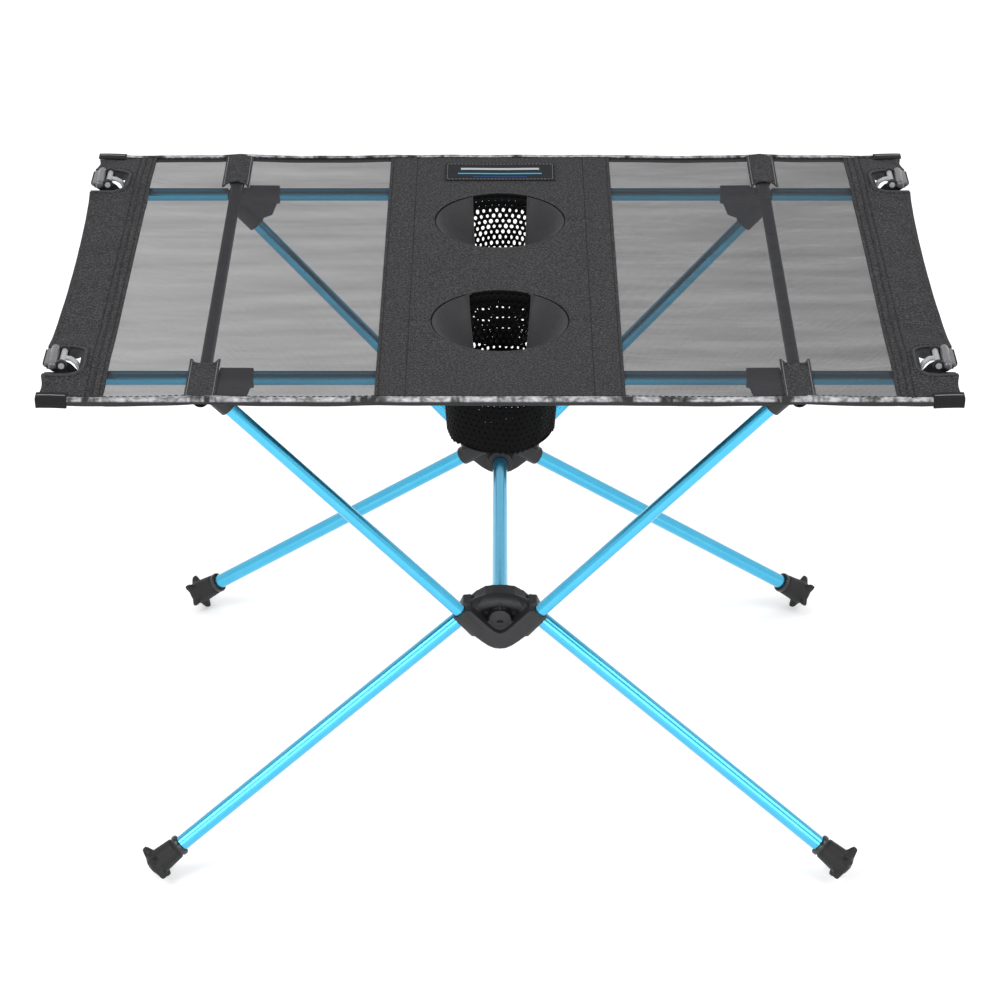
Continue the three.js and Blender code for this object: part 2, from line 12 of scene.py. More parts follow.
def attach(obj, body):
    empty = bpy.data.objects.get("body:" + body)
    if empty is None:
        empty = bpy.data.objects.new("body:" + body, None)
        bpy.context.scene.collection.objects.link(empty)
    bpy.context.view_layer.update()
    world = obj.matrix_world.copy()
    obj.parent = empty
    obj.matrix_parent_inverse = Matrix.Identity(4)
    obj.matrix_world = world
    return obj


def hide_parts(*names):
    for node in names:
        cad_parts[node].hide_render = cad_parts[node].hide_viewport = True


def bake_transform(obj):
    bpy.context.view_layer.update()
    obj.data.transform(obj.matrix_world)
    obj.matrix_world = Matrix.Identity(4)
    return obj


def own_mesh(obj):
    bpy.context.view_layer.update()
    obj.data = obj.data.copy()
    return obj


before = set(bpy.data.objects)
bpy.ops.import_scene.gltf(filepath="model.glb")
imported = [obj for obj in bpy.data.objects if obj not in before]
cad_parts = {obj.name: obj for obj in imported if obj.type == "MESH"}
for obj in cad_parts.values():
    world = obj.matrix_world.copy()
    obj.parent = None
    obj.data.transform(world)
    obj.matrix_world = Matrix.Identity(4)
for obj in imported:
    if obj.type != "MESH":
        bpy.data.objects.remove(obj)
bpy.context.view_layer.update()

# ---- sizes, in mm ----
MM = 0.001
SOCKET_GAP = 0.3
CANVAS_THICK = 1.1
HALF_L, HALF_W, TOP_Z = 300.0, 200.0, 387.0
CENTRE, END_IN = 81.5, 257.0
RAIL_Y, RAIL_Z, RAIL_R = 149.0, 377.0, 4.75
POLE_X, POLE_Z, POLE_R = 194.5, 381.3, 4.25
POCKET = 56.0
BUCKLE_Y, BUCKLE_Z, TBAR_X, LEVER_X, LIP_X = 147.0, 391.0, 287.5, 293.6, 297.4
NOTCH_IN, NOTCH_HALF = 273.0, 20.5
CUP_Y, CUP_R = 82.0, 47.0
HUB_Z, HUB_Y = 177.0, 126.0
LEG_R, STRUT_R, SPREAD_R = 5.5, 4.75, 5.5
NET_TOP, NET_BOTTOM = 383.5, 308.5
QUARTERS = {"front_left": (1, 1), "front_right": (-1, 1), "rear_left": (1, -1), "rear_right": (-1, -1)}


def vec(*a):
    return np.array(a, float)


def unit(v):
    return v / np.linalg.norm(v)


LEG_OUT, LEG_MOUTH = vec(-224, -181, 26), vec(-28, -119, 174)
LEG_DIR = unit(LEG_OUT - LEG_MOUTH)
LEG_IN = LEG_MOUTH - 19.5 * LEG_DIR
STRUT_MOUTH, STRUT_TOP = vec(-27.5, -133.5, 188), vec(-192, -148.3, 367.2)
STRUT_DIR = unit(STRUT_TOP - STRUT_MOUTH)
STRUT_IN = STRUT_MOUTH - 18 * STRUT_DIR


# ---- mesh helpers ----
class Builder:
    """Collects vertices in mm and faces."""

    def __init__(self):
        self.v, self.f, self.n = [], [], 0

    def add(self, verts, faces):
        verts = np.asarray(verts, float).reshape(-1, 3)
        self.v.append(verts)
        self.f += [tuple(int(i) + self.n for i in f) for f in faces]
        self.n += len(verts)
        return self

    def merge(self, other):
        return self.add(other.points(), other.f)

    def points(self):
        return np.vstack(self.v)


def make(name, b, material, sharp=35.0, move=None):
    """A mesh object in metres from a builder. move may change its points first."""
    pts = b.points() if move is None else move(b.points())
    mesh = bpy.data.meshes.new(name)
    mesh.from_pydata((pts * MM).tolist(), [], b.f)
    mesh.polygons.foreach_set("use_smooth", [True] * len(mesh.polygons))
    if sharp:
        mesh.set_sharp_from_angle(angle=math.radians(sharp))
    mesh.materials.append(material)
    mesh.update()
    ob = bpy.data.objects.new(name, mesh)
    bpy.context.scene.collection.objects.link(ob)
    return ob


def basis(p, q):
    """Three unit vectors: two across p to q, and along it."""
    w = unit(np.asarray(q, float) - np.asarray(p, float))
    up = vec(1, 0, 0) if abs(w[2]) > 0.95 else vec(0, 0, 1)
    u = unit(np.cross(up, w))
    return u, np.cross(w, u), w


def turned(profile, p, q, seg=48, wave=None):
    """Turns (radius, distance) pairs round the line p to q.

    A pair on the axis closes the end. wave(angle, distance, radius) may change the radius.
    """
    u, v, w = basis(p, q)
    rows, pts, count = [], [], 0
    for r, s in profile:
        if r <= 1e-9:
            pts.append(np.asarray(p, float) + w * s)
            rows.append([count])
            count += 1
        else:
            row = []
            for k in range(seg):
                a = 2 * math.pi * k / seg
                rr = wave(a, s, r) if wave else r
                pts.append(np.asarray(p, float) + w * s + rr * (math.cos(a) * u + math.sin(a) * v))
                row.append(count)
                count += 1
            rows.append(row)
    faces = []
    for a, c in zip(rows, rows[1:]):
        if len(a) == 1 and len(c) == 1:
            continue
        for k in range(seg):
            k2 = (k + 1) % seg
            if len(a) == 1:
                faces.append((a[0], c[k2], c[k]))
            elif len(c) == 1:
                faces.append((a[k], a[k2], c[0]))
            else:
                faces.append((a[k], a[k2], c[k2], c[k]))
    if profile[0] == profile[-1] and len(rows[0]) > 1:
        last, first = rows[-1], rows[0]
        lookup = dict(zip(last, first))
        faces = [tuple(lookup.get(i, i) for i in f) for f in faces]
    return Builder().add(pts, faces)


def pipe(p, q, ro, ri, seg=48, c=0.3):
    """A tube from p to q, with edges eased by c."""
    l = float(np.linalg.norm(np.asarray(q, float) - np.asarray(p, float)))
    inside, rim = (ri, c * 0.5), (ri + c * 0.5, 0)
    prof = [inside, rim, (ro - c, 0), (ro, c), (ro, l - c), (ro - c, l), (ri + c * 0.5, l), (ri, l - c * 0.5)]
    return turned([*prof, inside], p, q, seg)


def rod(p, q, r1, r2=None, seg=32):
    r2 = r1 if r2 is None else r2
    l = float(np.linalg.norm(np.asarray(q, float) - np.asarray(p, float)))
    return turned([(0, 0), (r1, 0), (r2, l), (0, l)], p, q, seg)


def block(x0, x1, y0, y1, z0, z1):
    (x0, x1), (y0, y1), (z0, z1) = sorted((x0, x1)), sorted((y0, y1)), sorted((z0, z1))
    v = [(x, y, z) for z in (z0, z1) for y in (y0, y1) for x in (x0, x1)]
    return Builder().add(
        v, [(0, 2, 3, 1), (4, 5, 7, 6), (0, 1, 5, 4), (2, 6, 7, 3), (0, 4, 6, 2), (1, 3, 7, 5)]
    )


def plate(outline, y0, y1):
    """An outline in X and Z, thick along Y."""
    n = len(outline)
    after = [*outline[1:], outline[0]]
    if sum(x1 * z2 - x2 * z1 for (x1, z1), (x2, z2) in zip(outline, after)) < 0:
        outline = outline[::-1]
    v = [(x, y0, z) for x, z in outline] + [(x, y1, z) for x, z in outline]
    f = [tuple(range(n)), tuple(range(2 * n - 1, n - 1, -1))]
    f += [(k, k + n, (k + 1) % n + n, (k + 1) % n) for k in range(n)]
    return Builder().add(v, f)


def convex(points):
    bm = bmesh.new()
    for p in points:
        bm.verts.new(p)
    out = bmesh.ops.convex_hull(bm, input=bm.verts)
    junk = [g for g in out["geom_interior"] + out["geom_unused"] if isinstance(g, bmesh.types.BMVert)]
    bmesh.ops.delete(bm, geom=junk, context="VERTS")
    bm.verts.index_update()
    b = Builder().add([v.co[:] for v in bm.verts], [[v.index for v in f.verts] for f in bm.faces])
    bm.free()
    return b


def swept(path, section, closed=False, ups=None, taper=None):
    """A closed section, pairs across and up, swept along a path in mm."""
    path = [np.asarray(p, float) for p in path]
    n, m = len(path), len(section)
    pts = []
    for k in range(n):
        a = path[(k - 1) % n] if closed or k else path[0]
        c = path[(k + 1) % n] if closed or k < n - 1 else path[-1]
        t = unit(c - a)
        up = vec(0, 0, 1) if ups is None else np.asarray(ups[k], float)
        side = unit(np.cross(t, up))
        upv = np.cross(side, t)
        s = 1.0 if taper is None else taper[k]
        for x, z in section:
            pts.append(path[k] + side * x * s + upv * z * s)
    faces = []
    for k in range(n if closed else n - 1):
        k2 = (k + 1) % n
        for j in range(m):
            j2 = (j + 1) % m
            faces.append((k * m + j, k2 * m + j, k2 * m + j2, k * m + j2))
    if not closed:
        faces.append(tuple(range(m)))
        faces.append(tuple((n - 1) * m + j for j in reversed(range(m))))
    return Builder().add(pts, faces)


def disc_section(r, n=10, flat=1.0):
    return [(r * math.cos(-2 * math.pi * k / n), r * flat * math.sin(-2 * math.pi * k / n)) for k in range(n)]


def applied(ob):
    """The object with its modifiers made real."""
    dg = bpy.context.evaluated_depsgraph_get()
    mesh = bpy.data.meshes.new_from_object(ob.evaluated_get(dg))
    old = ob.data
    ob.modifiers.clear()
    ob.data = mesh
    bpy.data.meshes.remove(old)
    return ob


def moulded(name, solids, cuts, material, voxel=0.4, smooth=6, sharp=40.0):
    """Overlapping solids fused, with softened edges like a moulding, then bored."""
    b = Builder()
    for s in solids:
        b.merge(s)
    ob = make(name, b, material, sharp=None)
    r = ob.modifiers.new("fuse", "REMESH")
    r.mode, r.voxel_size = "VOXEL", voxel * MM
    s = ob.modifiers.new("soften", "SMOOTH")
    s.factor, s.iterations = 0.5, smooth
    applied(ob)
    for k, c in enumerate(cuts):
        tool = make(f"{name}_cut{k}", c, material, sharp=None)
        m = ob.modifiers.new("bore", "BOOLEAN")
        m.operation, m.solver, m.object = "DIFFERENCE", "MANIFOLD", tool
        applied(ob)
        bpy.data.objects.remove(tool)
    ob.data.polygons.foreach_set("use_smooth", [True] * len(ob.data.polygons))
    ob.data.set_sharp_from_angle(angle=math.radians(sharp))
    ob.data.materials.clear()
    ob.data.materials.append(material)
    return ob


def twin(ob, name, sx, sy):
    """A mirrored copy of an object."""
    mesh = ob.data.copy()
    mesh.transform(Matrix.Diagonal((sx, sy, 1, 1)))
    if sx * sy < 0:
        mesh.flip_normals()
    c = bpy.data.objects.new(name, mesh)
    bpy.context.scene.collection.objects.link(c)
    return c


# ---- materials ----
class Nodes:
    """Short names for building a shader."""

    def __init__(self, name):
        self.mat = bpy.data.materials.new(name)
        self.mat.use_nodes = True
        self.nt = self.mat.node_tree
        self.bsdf = self.nt.nodes["Principled BSDF"]

    def link(self, a, b):
        self.nt.links.new(a, b)

    def value(self, v, socket):
        if isinstance(v, (int, float)):
            socket.default_value = v
        elif isinstance(v, tuple):
            socket.default_value = (*v, 1.0)
        else:
            self.link(v, socket)

    def math(self, op, a, b=0.0, clamp=False):
        n = self.nt.nodes.new("ShaderNodeMath")
        n.operation, n.use_clamp = op, clamp
        self.value(a, n.inputs[0])
        self.value(b, n.inputs[1])
        return n.outputs[0]

    def coords(self, scale=(1, 1, 1)):
        t = self.nt.nodes.new("ShaderNodeTexCoord")
        m = self.nt.nodes.new("ShaderNodeMapping")
        m.inputs["Scale"].default_value = scale
        self.link(t.outputs["Object"], m.inputs["Vector"])
        return m.outputs[0]

    def axes(self):
        t = self.nt.nodes.new("ShaderNodeTexCoord")
        s = self.nt.nodes.new("ShaderNodeSeparateXYZ")
        self.link(t.outputs["Object"], s.inputs[0])
        return s.outputs

    def noise(self, scale, detail=2.0, rough=0.5, stretch=(1, 1, 1)):
        n = self.nt.nodes.new("ShaderNodeTexNoise")
        n.inputs["Scale"].default_value = scale
        n.inputs["Detail"].default_value = detail
        n.inputs["Roughness"].default_value = rough
        self.link(self.coords(stretch), n.inputs["Vector"])
        return n.outputs["Fac"]

    def ramp(self, fac, lo, hi, a, b):
        n = self.nt.nodes.new("ShaderNodeMapRange")
        self.link(fac, n.inputs["Value"])
        for k, v in zip(("From Min", "From Max", "To Min", "To Max"), (lo, hi, a, b)):
            n.inputs[k].default_value = v
        return n.outputs[0]

    def mix(self, fac, a, b):
        n = self.nt.nodes.new("ShaderNodeMix")
        n.data_type = "RGBA"
        self.value(fac, n.inputs[0])
        self.value(a, n.inputs[6])
        self.value(b, n.inputs[7])
        return n.outputs[2]

    def weave(self, px, py):
        """Plain weave height from 0 to 1, with pitches in mm."""
        x, y, _ = self.axes()
        sx = self.math("SINE", self.math("MULTIPLY", x, 2 * math.pi / (px * MM)))
        sy = self.math("SINE", self.math("MULTIPLY", y, 2 * math.pi / (py * MM)))
        return self.ramp(self.math("MULTIPLY", sx, sy), -1, 1, 0, 1)

    def bump(self, height, strength, distance):
        n = self.nt.nodes.new("ShaderNodeBump")
        n.inputs["Strength"].default_value = strength
        n.inputs["Distance"].default_value = distance * MM
        self.link(height, n.inputs["Height"])
        self.link(n.outputs[0], self.bsdf.inputs["Normal"])

    def set(self, **values):
        for k, v in values.items():
            self.value(v, self.bsdf.inputs[k.replace("_", " ")])


def colour(h):
    """A colour from its sRGB hex."""
    c = [int(h[k : k + 2], 16) / 255 for k in (0, 2, 4)]
    return tuple(x / 12.92 if x <= 0.04045 else ((x + 0.055) / 1.055) ** 2.4 for x in c)


def build_materials():
    m = {}

    def drift(n, scale, detail, dark, light):
        """A colour that wanders between two shades."""
        return n.mix(n.noise(scale, detail), colour(dark), colour(light))

    def rough(n, scale, detail, low, high):
        """A roughness that wanders between two values."""
        return n.ramp(n.noise(scale, detail), 0.3, 0.7, low, high)

    def simple(key, name, shades, roughness, bump=None, **looks):
        """A plain material, kept under key.

        shades goes to drift, and roughness is a value or goes to rough.
        bump is the scale and detail of its noise, its strength and its depth in mm.
        """
        n = Nodes(name)
        wear_and_painted_sheen = rough(n, *roughness) if isinstance(roughness, tuple) else roughness
        n.set(Base_Color=drift(n, *shades), Roughness=wear_and_painted_sheen, **looks)
        if bump:
            n.bump(n.noise(*bump[:2]), *bump[2:])
        m[key] = n.mat

    blue = {"Metallic": 0.9, "Coat_Weight": 0.7, "Coat_Roughness": 0.12}
    simple("blue", "anodised_blue", (60, 3, "3aaed8", "49badf"), (700, 2, 0.22, 0.27), **blue)
    simple("dark", "dark_tube", (80, 2, "1c1d20", "26272a"), (500, 2, 0.36, 0.46), Metallic=0.4)
    grain = (2600, 2, 0.12, 0.06)
    simple(
        "plastic", "hub_plastic", (140, 3, "202022", "272729"), (600, 3, 0.42, 0.54), grain,
        Specular_IOR_Level=0.35
    )
    shine = {"Coat_Weight": 0.4, "Coat_Roughness": 0.1}
    simple("buckle", "buckle_plastic", (90, 2, "4c4c50", "58585c"), 0.24, **shine)
    simple("tip", "tip_plastic", (200, 3, "8b8d90", "a0a2a5"), (700, 3, 0.3, 0.42))
    grain = (1800, 3, 0.15, 0.08)
    simple(
        "rubber", "foot_rubber", (120, 3, "19191a", "202021"), (500, 3, 0.5, 0.64), grain,
        Specular_IOR_Level=0.3
    )
    simple("gloss", "collar_gloss", (120, 3, "1c1c1e", "262628"), 0.24)
    simple("net", "net_yarn", (500, 2, "060606", "0d0d0e"), 0.8, (3000, 2, 0.2, 0.1), Specular_IOR_Level=0.08)
    simple("piping", "piping", (300, 3, "2c2c2e", "434346"), 0.7, Specular_IOR_Level=0.25)
    simple("thread", "thread", (900, 2, "6a6a6c", "8a8a8d"), 0.7, Specular_IOR_Level=0.2)
    simple("dark_thread", "dark_thread", (900, 2, "111112", "1c1c1d"), 0.7, Specular_IOR_Level=0.2)

    n = Nodes("canvas")
    fleck = n.ramp(n.noise(620, 2, 0.6, (1, 1.8, 1)), 0.5, 0.68, 0, 1)
    fleck2 = n.ramp(n.noise(620, 2, 0.6, (1.8, 1, 1)), 0.52, 0.7, 0, 1)
    both = n.math("MULTIPLY", n.math("MAXIMUM", fleck, fleck2, True), 0.72)
    flecked = n.mix(both, drift(n, 22, 4, "212122", "282829"), colour("545457"))
    n.set(Base_Color=flecked, Roughness=0.9, Specular_IOR_Level=0.12, Sheen_Weight=0.03, Sheen_Roughness=0.5)
    n.bump(n.math("ADD", n.weave(0.9, 0.9), n.math("MULTIPLY", n.noise(260, 3), 1.2)), 0.35, 0.12)
    m["canvas"] = n.mat

    n = Nodes("smooth_cloth")
    n.set(Base_Color=drift(n, 60, 4, "262628", "313133"), Roughness=rough(n, 240, 3, 0.5, 0.65))
    n.set(Specular_IOR_Level=0.25, Sheen_Weight=0.05, Sheen_Roughness=0.4)
    n.bump(n.math("ADD", n.weave(0.6, 0.6), n.math("MULTIPLY", n.noise(90, 3), 2.0)), 0.25, 0.15)
    m["lining"] = n.mat

    n = Nodes("wing_mesh")
    x, y, _ = n.axes()
    tx = n.math("ABSOLUTE", n.math("SINE", n.math("MULTIPLY", x, math.pi / 0.00075)))
    ty = n.math("ABSOLUTE", n.math("SINE", n.math("MULTIPLY", y, math.pi / 0.00062)))
    thread = n.math("MAXIMUM", n.ramp(tx, 0.55, 0.85, 0, 1), n.ramp(ty, 0.5, 0.8, 0, 1), True)
    streak = n.ramp(n.noise(26, 3, 0.55, (0.35, 2.2, 1)), 0.25, 0.75, -0.05, 0.05)
    # across makes the mesh more opaque towards the right: painted shade, as the right wing shows darker than
    # the left under light from the left.
    across = n.ramp(x, -0.29, 0.29, -0.03, 0.1)
    alpha = n.math("ADD", n.math("ADD", n.ramp(thread, 0, 1, 0.58, 0.8), across), streak, True)
    shade = n.mix(n.noise(50, 3, 0.5, (0.6, 2, 1)), colour("2e2e31"), colour("37373a"))
    n.set(Base_Color=shade, Roughness=0.8, Alpha=alpha, Specular_IOR_Level=0.15)
    m["mesh"] = n.mat

    n = Nodes("edge_tape")
    _, _, z = n.axes()
    # The top face of the tape is painted light grey in broken streaks: a painted sheen where light falls on
    # the top of the rolled edge. Below it the tape keeps its own dark colour.
    upper_face = n.ramp(z, 0.3852, 0.3862, 0, 1)
    wear_and_painted_sheen = n.math("MULTIPLY", n.ramp(n.noise(75, 3, 0.6, (1, 0.3, 0.3)), 0.38, 0.5, 0, 1), upper_face, True)
    shade = n.mix(
        n.ramp(n.noise(240, 3, 0.6, (0.8, 1, 1)), 0.35, 0.65, 0, 1), colour("5c5c5e"), colour("b4b4b8")
    )
    n.set(
        Base_Color=n.mix(wear_and_painted_sheen, drift(n, 90, 3, "1c1c1d", "262627"), shade), Roughness=0.7,
        Specular_IOR_Level=0.3
    )
    n.bump(n.math("ADD", n.weave(1.1, 1.1), n.math("MULTIPLY", n.noise(500, 2), 0.8)), 0.3, 0.15)
    m["tape"] = n.mat

    n = Nodes("black_webbing")
    n.set(
        Base_Color=drift(n, 400, 3, "161617", "1f1f20"), Roughness=0.85, Specular_IOR_Level=0.15,
        Sheen_Weight=0.03
    )
    n.bump(n.math("ADD", n.weave(1.0, 1.4), n.math("MULTIPLY", n.noise(700, 2), 0.6)), 0.45, 0.25)
    m["webbing"] = n.mat

    n = Nodes("elastic")
    n.set(Base_Color=n.mix(n.weave(0.8, 0.8), colour("1e1f21"), colour("3a3c40")), Roughness=0.7)
    m["cord"] = n.mat

    n = Nodes("label_cloth")
    x, y, _ = n.axes()
    near = lambda v, c, w: n.math("LESS_THAN", n.math("ABSOLUTE", n.math("SUBTRACT", v, c * MM)), w * MM)
    bar = lambda cy, half, w: n.math("MULTIPLY", near(y, cy, w), near(x, 0, half))
    base = drift(n, 300, 3, "141619", "1b1d21")
    base = n.mix(bar(157.2, 20, 0.45), base, colour("173f7a"))
    base = n.mix(bar(163.0, 31, 0.9), base, colour("2f9fc4"))
    n.set(
        Base_Color=n.mix(bar(171.5, 29, 1.7), base, colour("a8abb0")), Roughness=0.75, Specular_IOR_Level=0.2
    )
    n.bump(n.weave(0.7, 0.7), 0.4, 0.12)
    m["label"] = n.mat
    return m


MAT = build_materials()


# ---- the shape of the stretched top ----
# Creases across the wings: their place along Y, width and height, in mm.
FOLDS = [
    (171, 4, 1.0), (136, 5, -1.1), (128, 4, 0.9), (-63, 6, 0.9), (-86, 5, -0.8), (-104, 7, 0.7),
    (-158, 4, 0.7), (12, 9, 0.5), (75, 8, -0.5)
]


def lift(x, y):
    """Height of the top above its flat plane, in mm.

    It is raised at the buckles and pole ends and slack between them, with soft creases.
    """
    ax, ay = abs(x), abs(y)
    bell = lambda v, w: math.exp(-((v / w) ** 2))
    h = 0.5 * bell(ax - POLE_X, 13) * bell(HALF_W - ay, 20) + 0.35 * bell(ax - POLE_X, 7)
    if ax < 182:
        h -= 0.7 * math.sin(math.pi * min(1, max(0, (ax - 82) / 100))) * (0.4 + 0.6 * (ay / HALF_W) ** 2)
    elif ax > 207:
        h -= 0.5 * math.sin(math.pi * min(1, (ax - 207) / 93)) * (ay / HALF_W) ** 2
    if ax > 235:
        rise = min(1, (ax - 235) / 40)
        pulled = bell(ay - BUCKLE_Y, 26) + 0.35 * max(0, math.cos(ay / 95))
        h += 3.8 * rise * rise * (3 - 2 * rise) * pulled * min(1, (HALF_W - ay) / 22)
    if 82 < ax < END_IN:
        near = bell(ax - 245, 40)
        for k, (c, w, a) in enumerate(FOLDS):
            h += a * near * bell(y - c - 5 * math.sin(ax / 23 + k) * (1 if x > 0 else -1), w)
        h += 0.22 * math.sin(y / 7.3 + 1.7 * math.sin(x / 31) + x / 60) * near
        between = math.sin(math.pi * (ax - 82) / (END_IN - 82))
        h += 0.14 * math.sin(y / 11.9 + 0.9 * math.sin(x / 23)) * between
    elif ax >= END_IN:
        mid = math.sin(math.pi * min(1, max(0, (ax - END_IN) / 43))) ** 0.5
        broad = 0.55 * math.sin(y / 9.5 + 0.8 * math.sin(y / 13) + ax / 30) * bell(ay - 105, 60)
        h += mid * (broad + 0.3 * math.sin(y / 5.1 + ax / 9 + 1.3 * math.sin(y / 17)))
    else:
        for s in (-1, 1):
            dx, dy = ax - CUP_R, y - s * CUP_Y
            if dx > -2:
                h -= 0.75 * bell(dy - 2 * math.sin(x), 3.4) * bell(dx - 9, 13)
                h += 0.5 * bell(dy - 7, 3.5) * bell(dx - 7, 12)
        h += 0.12 * math.sin(x / 9 + y / 37) * math.sin(y / 23)
        h -= 0.3 * math.cos(math.pi * y / 400)
    return h


def cloth_mesh(outline, holes, step, top, thick):
    """A slab of cloth that follows the top, cut to an outline with holes. thick 0 gives one layer."""
    loops = [outline, *holes]
    pts, edges = [], []
    for loop in loops:
        fine = []
        n = len(loop)
        for k in range(n):
            a, c = np.array(loop[k], float), np.array(loop[(k + 1) % n], float)
            m = max(1, int(np.linalg.norm(c - a) / step))
            fine += [tuple(a + (c - a) * j / m) for j in range(m)]
        start = len(pts)
        pts += fine
        edges += [(start + k, start + (k + 1) % len(fine)) for k in range(len(fine))]

    def within(x, y, loop):
        c = False
        n = len(loop)
        for k in range(n):
            (x1, y1), (x2, y2) = loop[k], loop[(k + 1) % n]
            if (y1 > y) != (y2 > y) and x < (x2 - x1) * (y - y1) / (y2 - y1) + x1:
                c = not c
        return c

    def keep(x, y):
        return within(x, y, outline) and not any(within(x, y, h) for h in holes)

    rim = np.array(pts)
    xs, ys = [p[0] for p in outline], [p[1] for p in outline]
    gx = np.arange(min(xs) + step / 2, max(xs), step)
    gy = np.arange(min(ys) + step / 2, max(ys), step)
    for i, x in enumerate(gx):
        for y in gy:
            yy = y + (step / 2 if i % 2 else 0)
            if keep(x, yy) and np.min(np.abs(rim - (x, yy)).sum(1)) > step * 0.5:
                pts.append((float(x), float(yy)))
    v, _, f, *_ = delaunay_2d_cdt([Vector(p) for p in pts], edges, [], 0, 1e-5)
    v = [(p.x, p.y) for p in v]
    tris = []
    for t in f:
        cx, cy = sum(v[i][0] for i in t) / 3, sum(v[i][1] for i in t) / 3
        if keep(cx, cy):
            (x1, y1), (x2, y2), (x3, y3) = (v[i] for i in t)
            tris.append(tuple(t) if (x2 - x1) * (y3 - y1) - (x3 - x1) * (y2 - y1) > 0 else tuple(t[::-1]))
    used = sorted({i for t in tris for i in t})
    at = {i: k for k, i in enumerate(used)}
    tris = [tuple(at[i] for i in t) for t in tris]
    flat = [v[i] for i in used]
    up = [(x, y, top + lift(x, y)) for x, y in flat]
    if not thick:
        return Builder().add(up, tris)
    n = len(flat)
    sides = {(t[k], t[(k + 1) % 3]): True for t in tris for k in range(3)}
    border = [(i, j) for i, j in sides if (j, i) not in sides]
    low = [(x, y, z - thick) for x, y, z in up]
    faces = tris + [tuple(i + n for i in t[::-1]) for t in tris] + [(j, i, i + n, j + n) for i, j in border]
    return Builder().add(up + low, faces)


def circle(cx, cy, r, n=96):
    return [
        (cx + r * math.cos(2 * math.pi * k / n), cy + r * math.sin(2 * math.pi * k / n)) for k in range(n)
    ]


def stitch_line(b, path, top=TOP_Z, pitch=3.4, length=2.3, r=0.3, closed=False):
    """Stitches along a path in X and Y, lying on the top."""
    pts = [np.array(p, float) for p in path]
    if closed:
        pts.append(pts[0])
    seg = [np.linalg.norm(c - a) for a, c in zip(pts, pts[1:])]
    total = sum(seg)
    n = max(1, int(total / pitch))

    def at(s):
        for (a, c), l in zip(zip(pts, pts[1:]), seg):
            if s <= l:
                return a + (c - a) * s / l
            s -= l
        return pts[-1]

    for k in range(n):
        s0 = (k + 0.5) * total / n - length / 2
        rows = []
        for j, (t, rr) in enumerate(((0, 0.35), (0.2, 0.9), (0.8, 0.9), (1, 0.35))):
            x, y = at(max(0, s0 + t * length))
            sink = -0.12 if j in (0, 3) else 0.12
            rows.append((vec(x, y, top + lift(x, y) + sink), rr * r))
        path3 = [p for p, _ in rows]
        b.merge(swept(path3, disc_section(r, 6), taper=[q / r for _, q in rows]))
    return b


# ---- putting pieces in place ----
def settle(ob, body, *nodes, slot=None):
    if nodes:
        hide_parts(*nodes)
    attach(ob, body)
    return ob


def four(first, name):
    """The piece made for the front left, and its three mirrored copies, by quarter."""
    made = {}
    for q, (sx, sy) in QUARTERS.items():
        made[q] = first if q == "front_left" else twin(first, f"{name}_{q}", sx, sy)
        made[q].name = f"{name}_{q}"
    return made


def at_quarters(first, name, body, node=None, slot=None):
    """Places a piece at the four quarters."""
    for q, ob in four(first, name).items():
        settle(ob, body.format(q), *([node.format(q)] if node else []), slot=slot)


def tubes():
    ob = make("spreader", pipe((0, -121, HUB_Z), (0, 121, HUB_Z), SPREAD_R, 4.6, 64), MAT["blue"])
    settle(ob, "frame", "spreader_tube", slot="tube_blue")
    seat = LEG_OUT + 15 * LEG_DIR
    rail_out, rail_in = (-268, -RAIL_Y, RAIL_Z), (-200.5, -RAIL_Y, RAIL_Z)
    leg = make("leg", pipe(LEG_IN, seat, LEG_R, 4.6, 64), MAT["blue"])
    at_quarters(leg, "leg", "leg_{}", "leg_tube_{}", "tube_blue")
    strut = make("strut", pipe(STRUT_IN, STRUT_TOP, STRUT_R, 3.95, 64), MAT["blue"])
    at_quarters(strut, "strut", "frame", "strut_tube_{}", "tube_blue")
    rail_end = make("rail_end", pipe(rail_out, rail_in, RAIL_R, 4.0, 48), MAT["blue"])
    at_quarters(rail_end, "rail_end", "frame", "rail_end_{}", "tube_blue")
    for side, y in (("front", -RAIL_Y), ("rear", RAIL_Y)):
        ob = make(f"rail_{side}", pipe((-188, y, RAIL_Z), (188, y, RAIL_Z), RAIL_R, 4.0, 48), MAT["blue"])
        settle(ob, "frame", f"rail_centre_{side}", slot="tube_blue")
    for side, x in (("left", -POLE_X), ("right", POLE_X)):
        ob = make(f"pole_{side}", pipe((x, -187, POLE_Z), (x, 187, POLE_Z), POLE_R, 3.5, 48), MAT["dark"])
        settle(ob, "frame", f"cross_pole_{side}", slot="tube_dark")


def cords():
    near = vec(-9, LEG_IN[1], LEG_IN[2] + 2.4)
    far = LEG_OUT + 8 * LEG_DIR
    for side, sy in (("front", 1), ("rear", -1)):
        path = [far, LEG_IN + 30 * LEG_DIR, LEG_IN, near]
        path = [p * vec(1, sy, 1) for p in path]
        path += [p * vec(-1, 1, 1) for p in reversed(path)]
        ob = make(f"elastic_{side}", swept(path, disc_section(1.4, 14)), MAT["cord"])
        settle(ob, "frame", f"shock_cord_{side}", slot="cord")


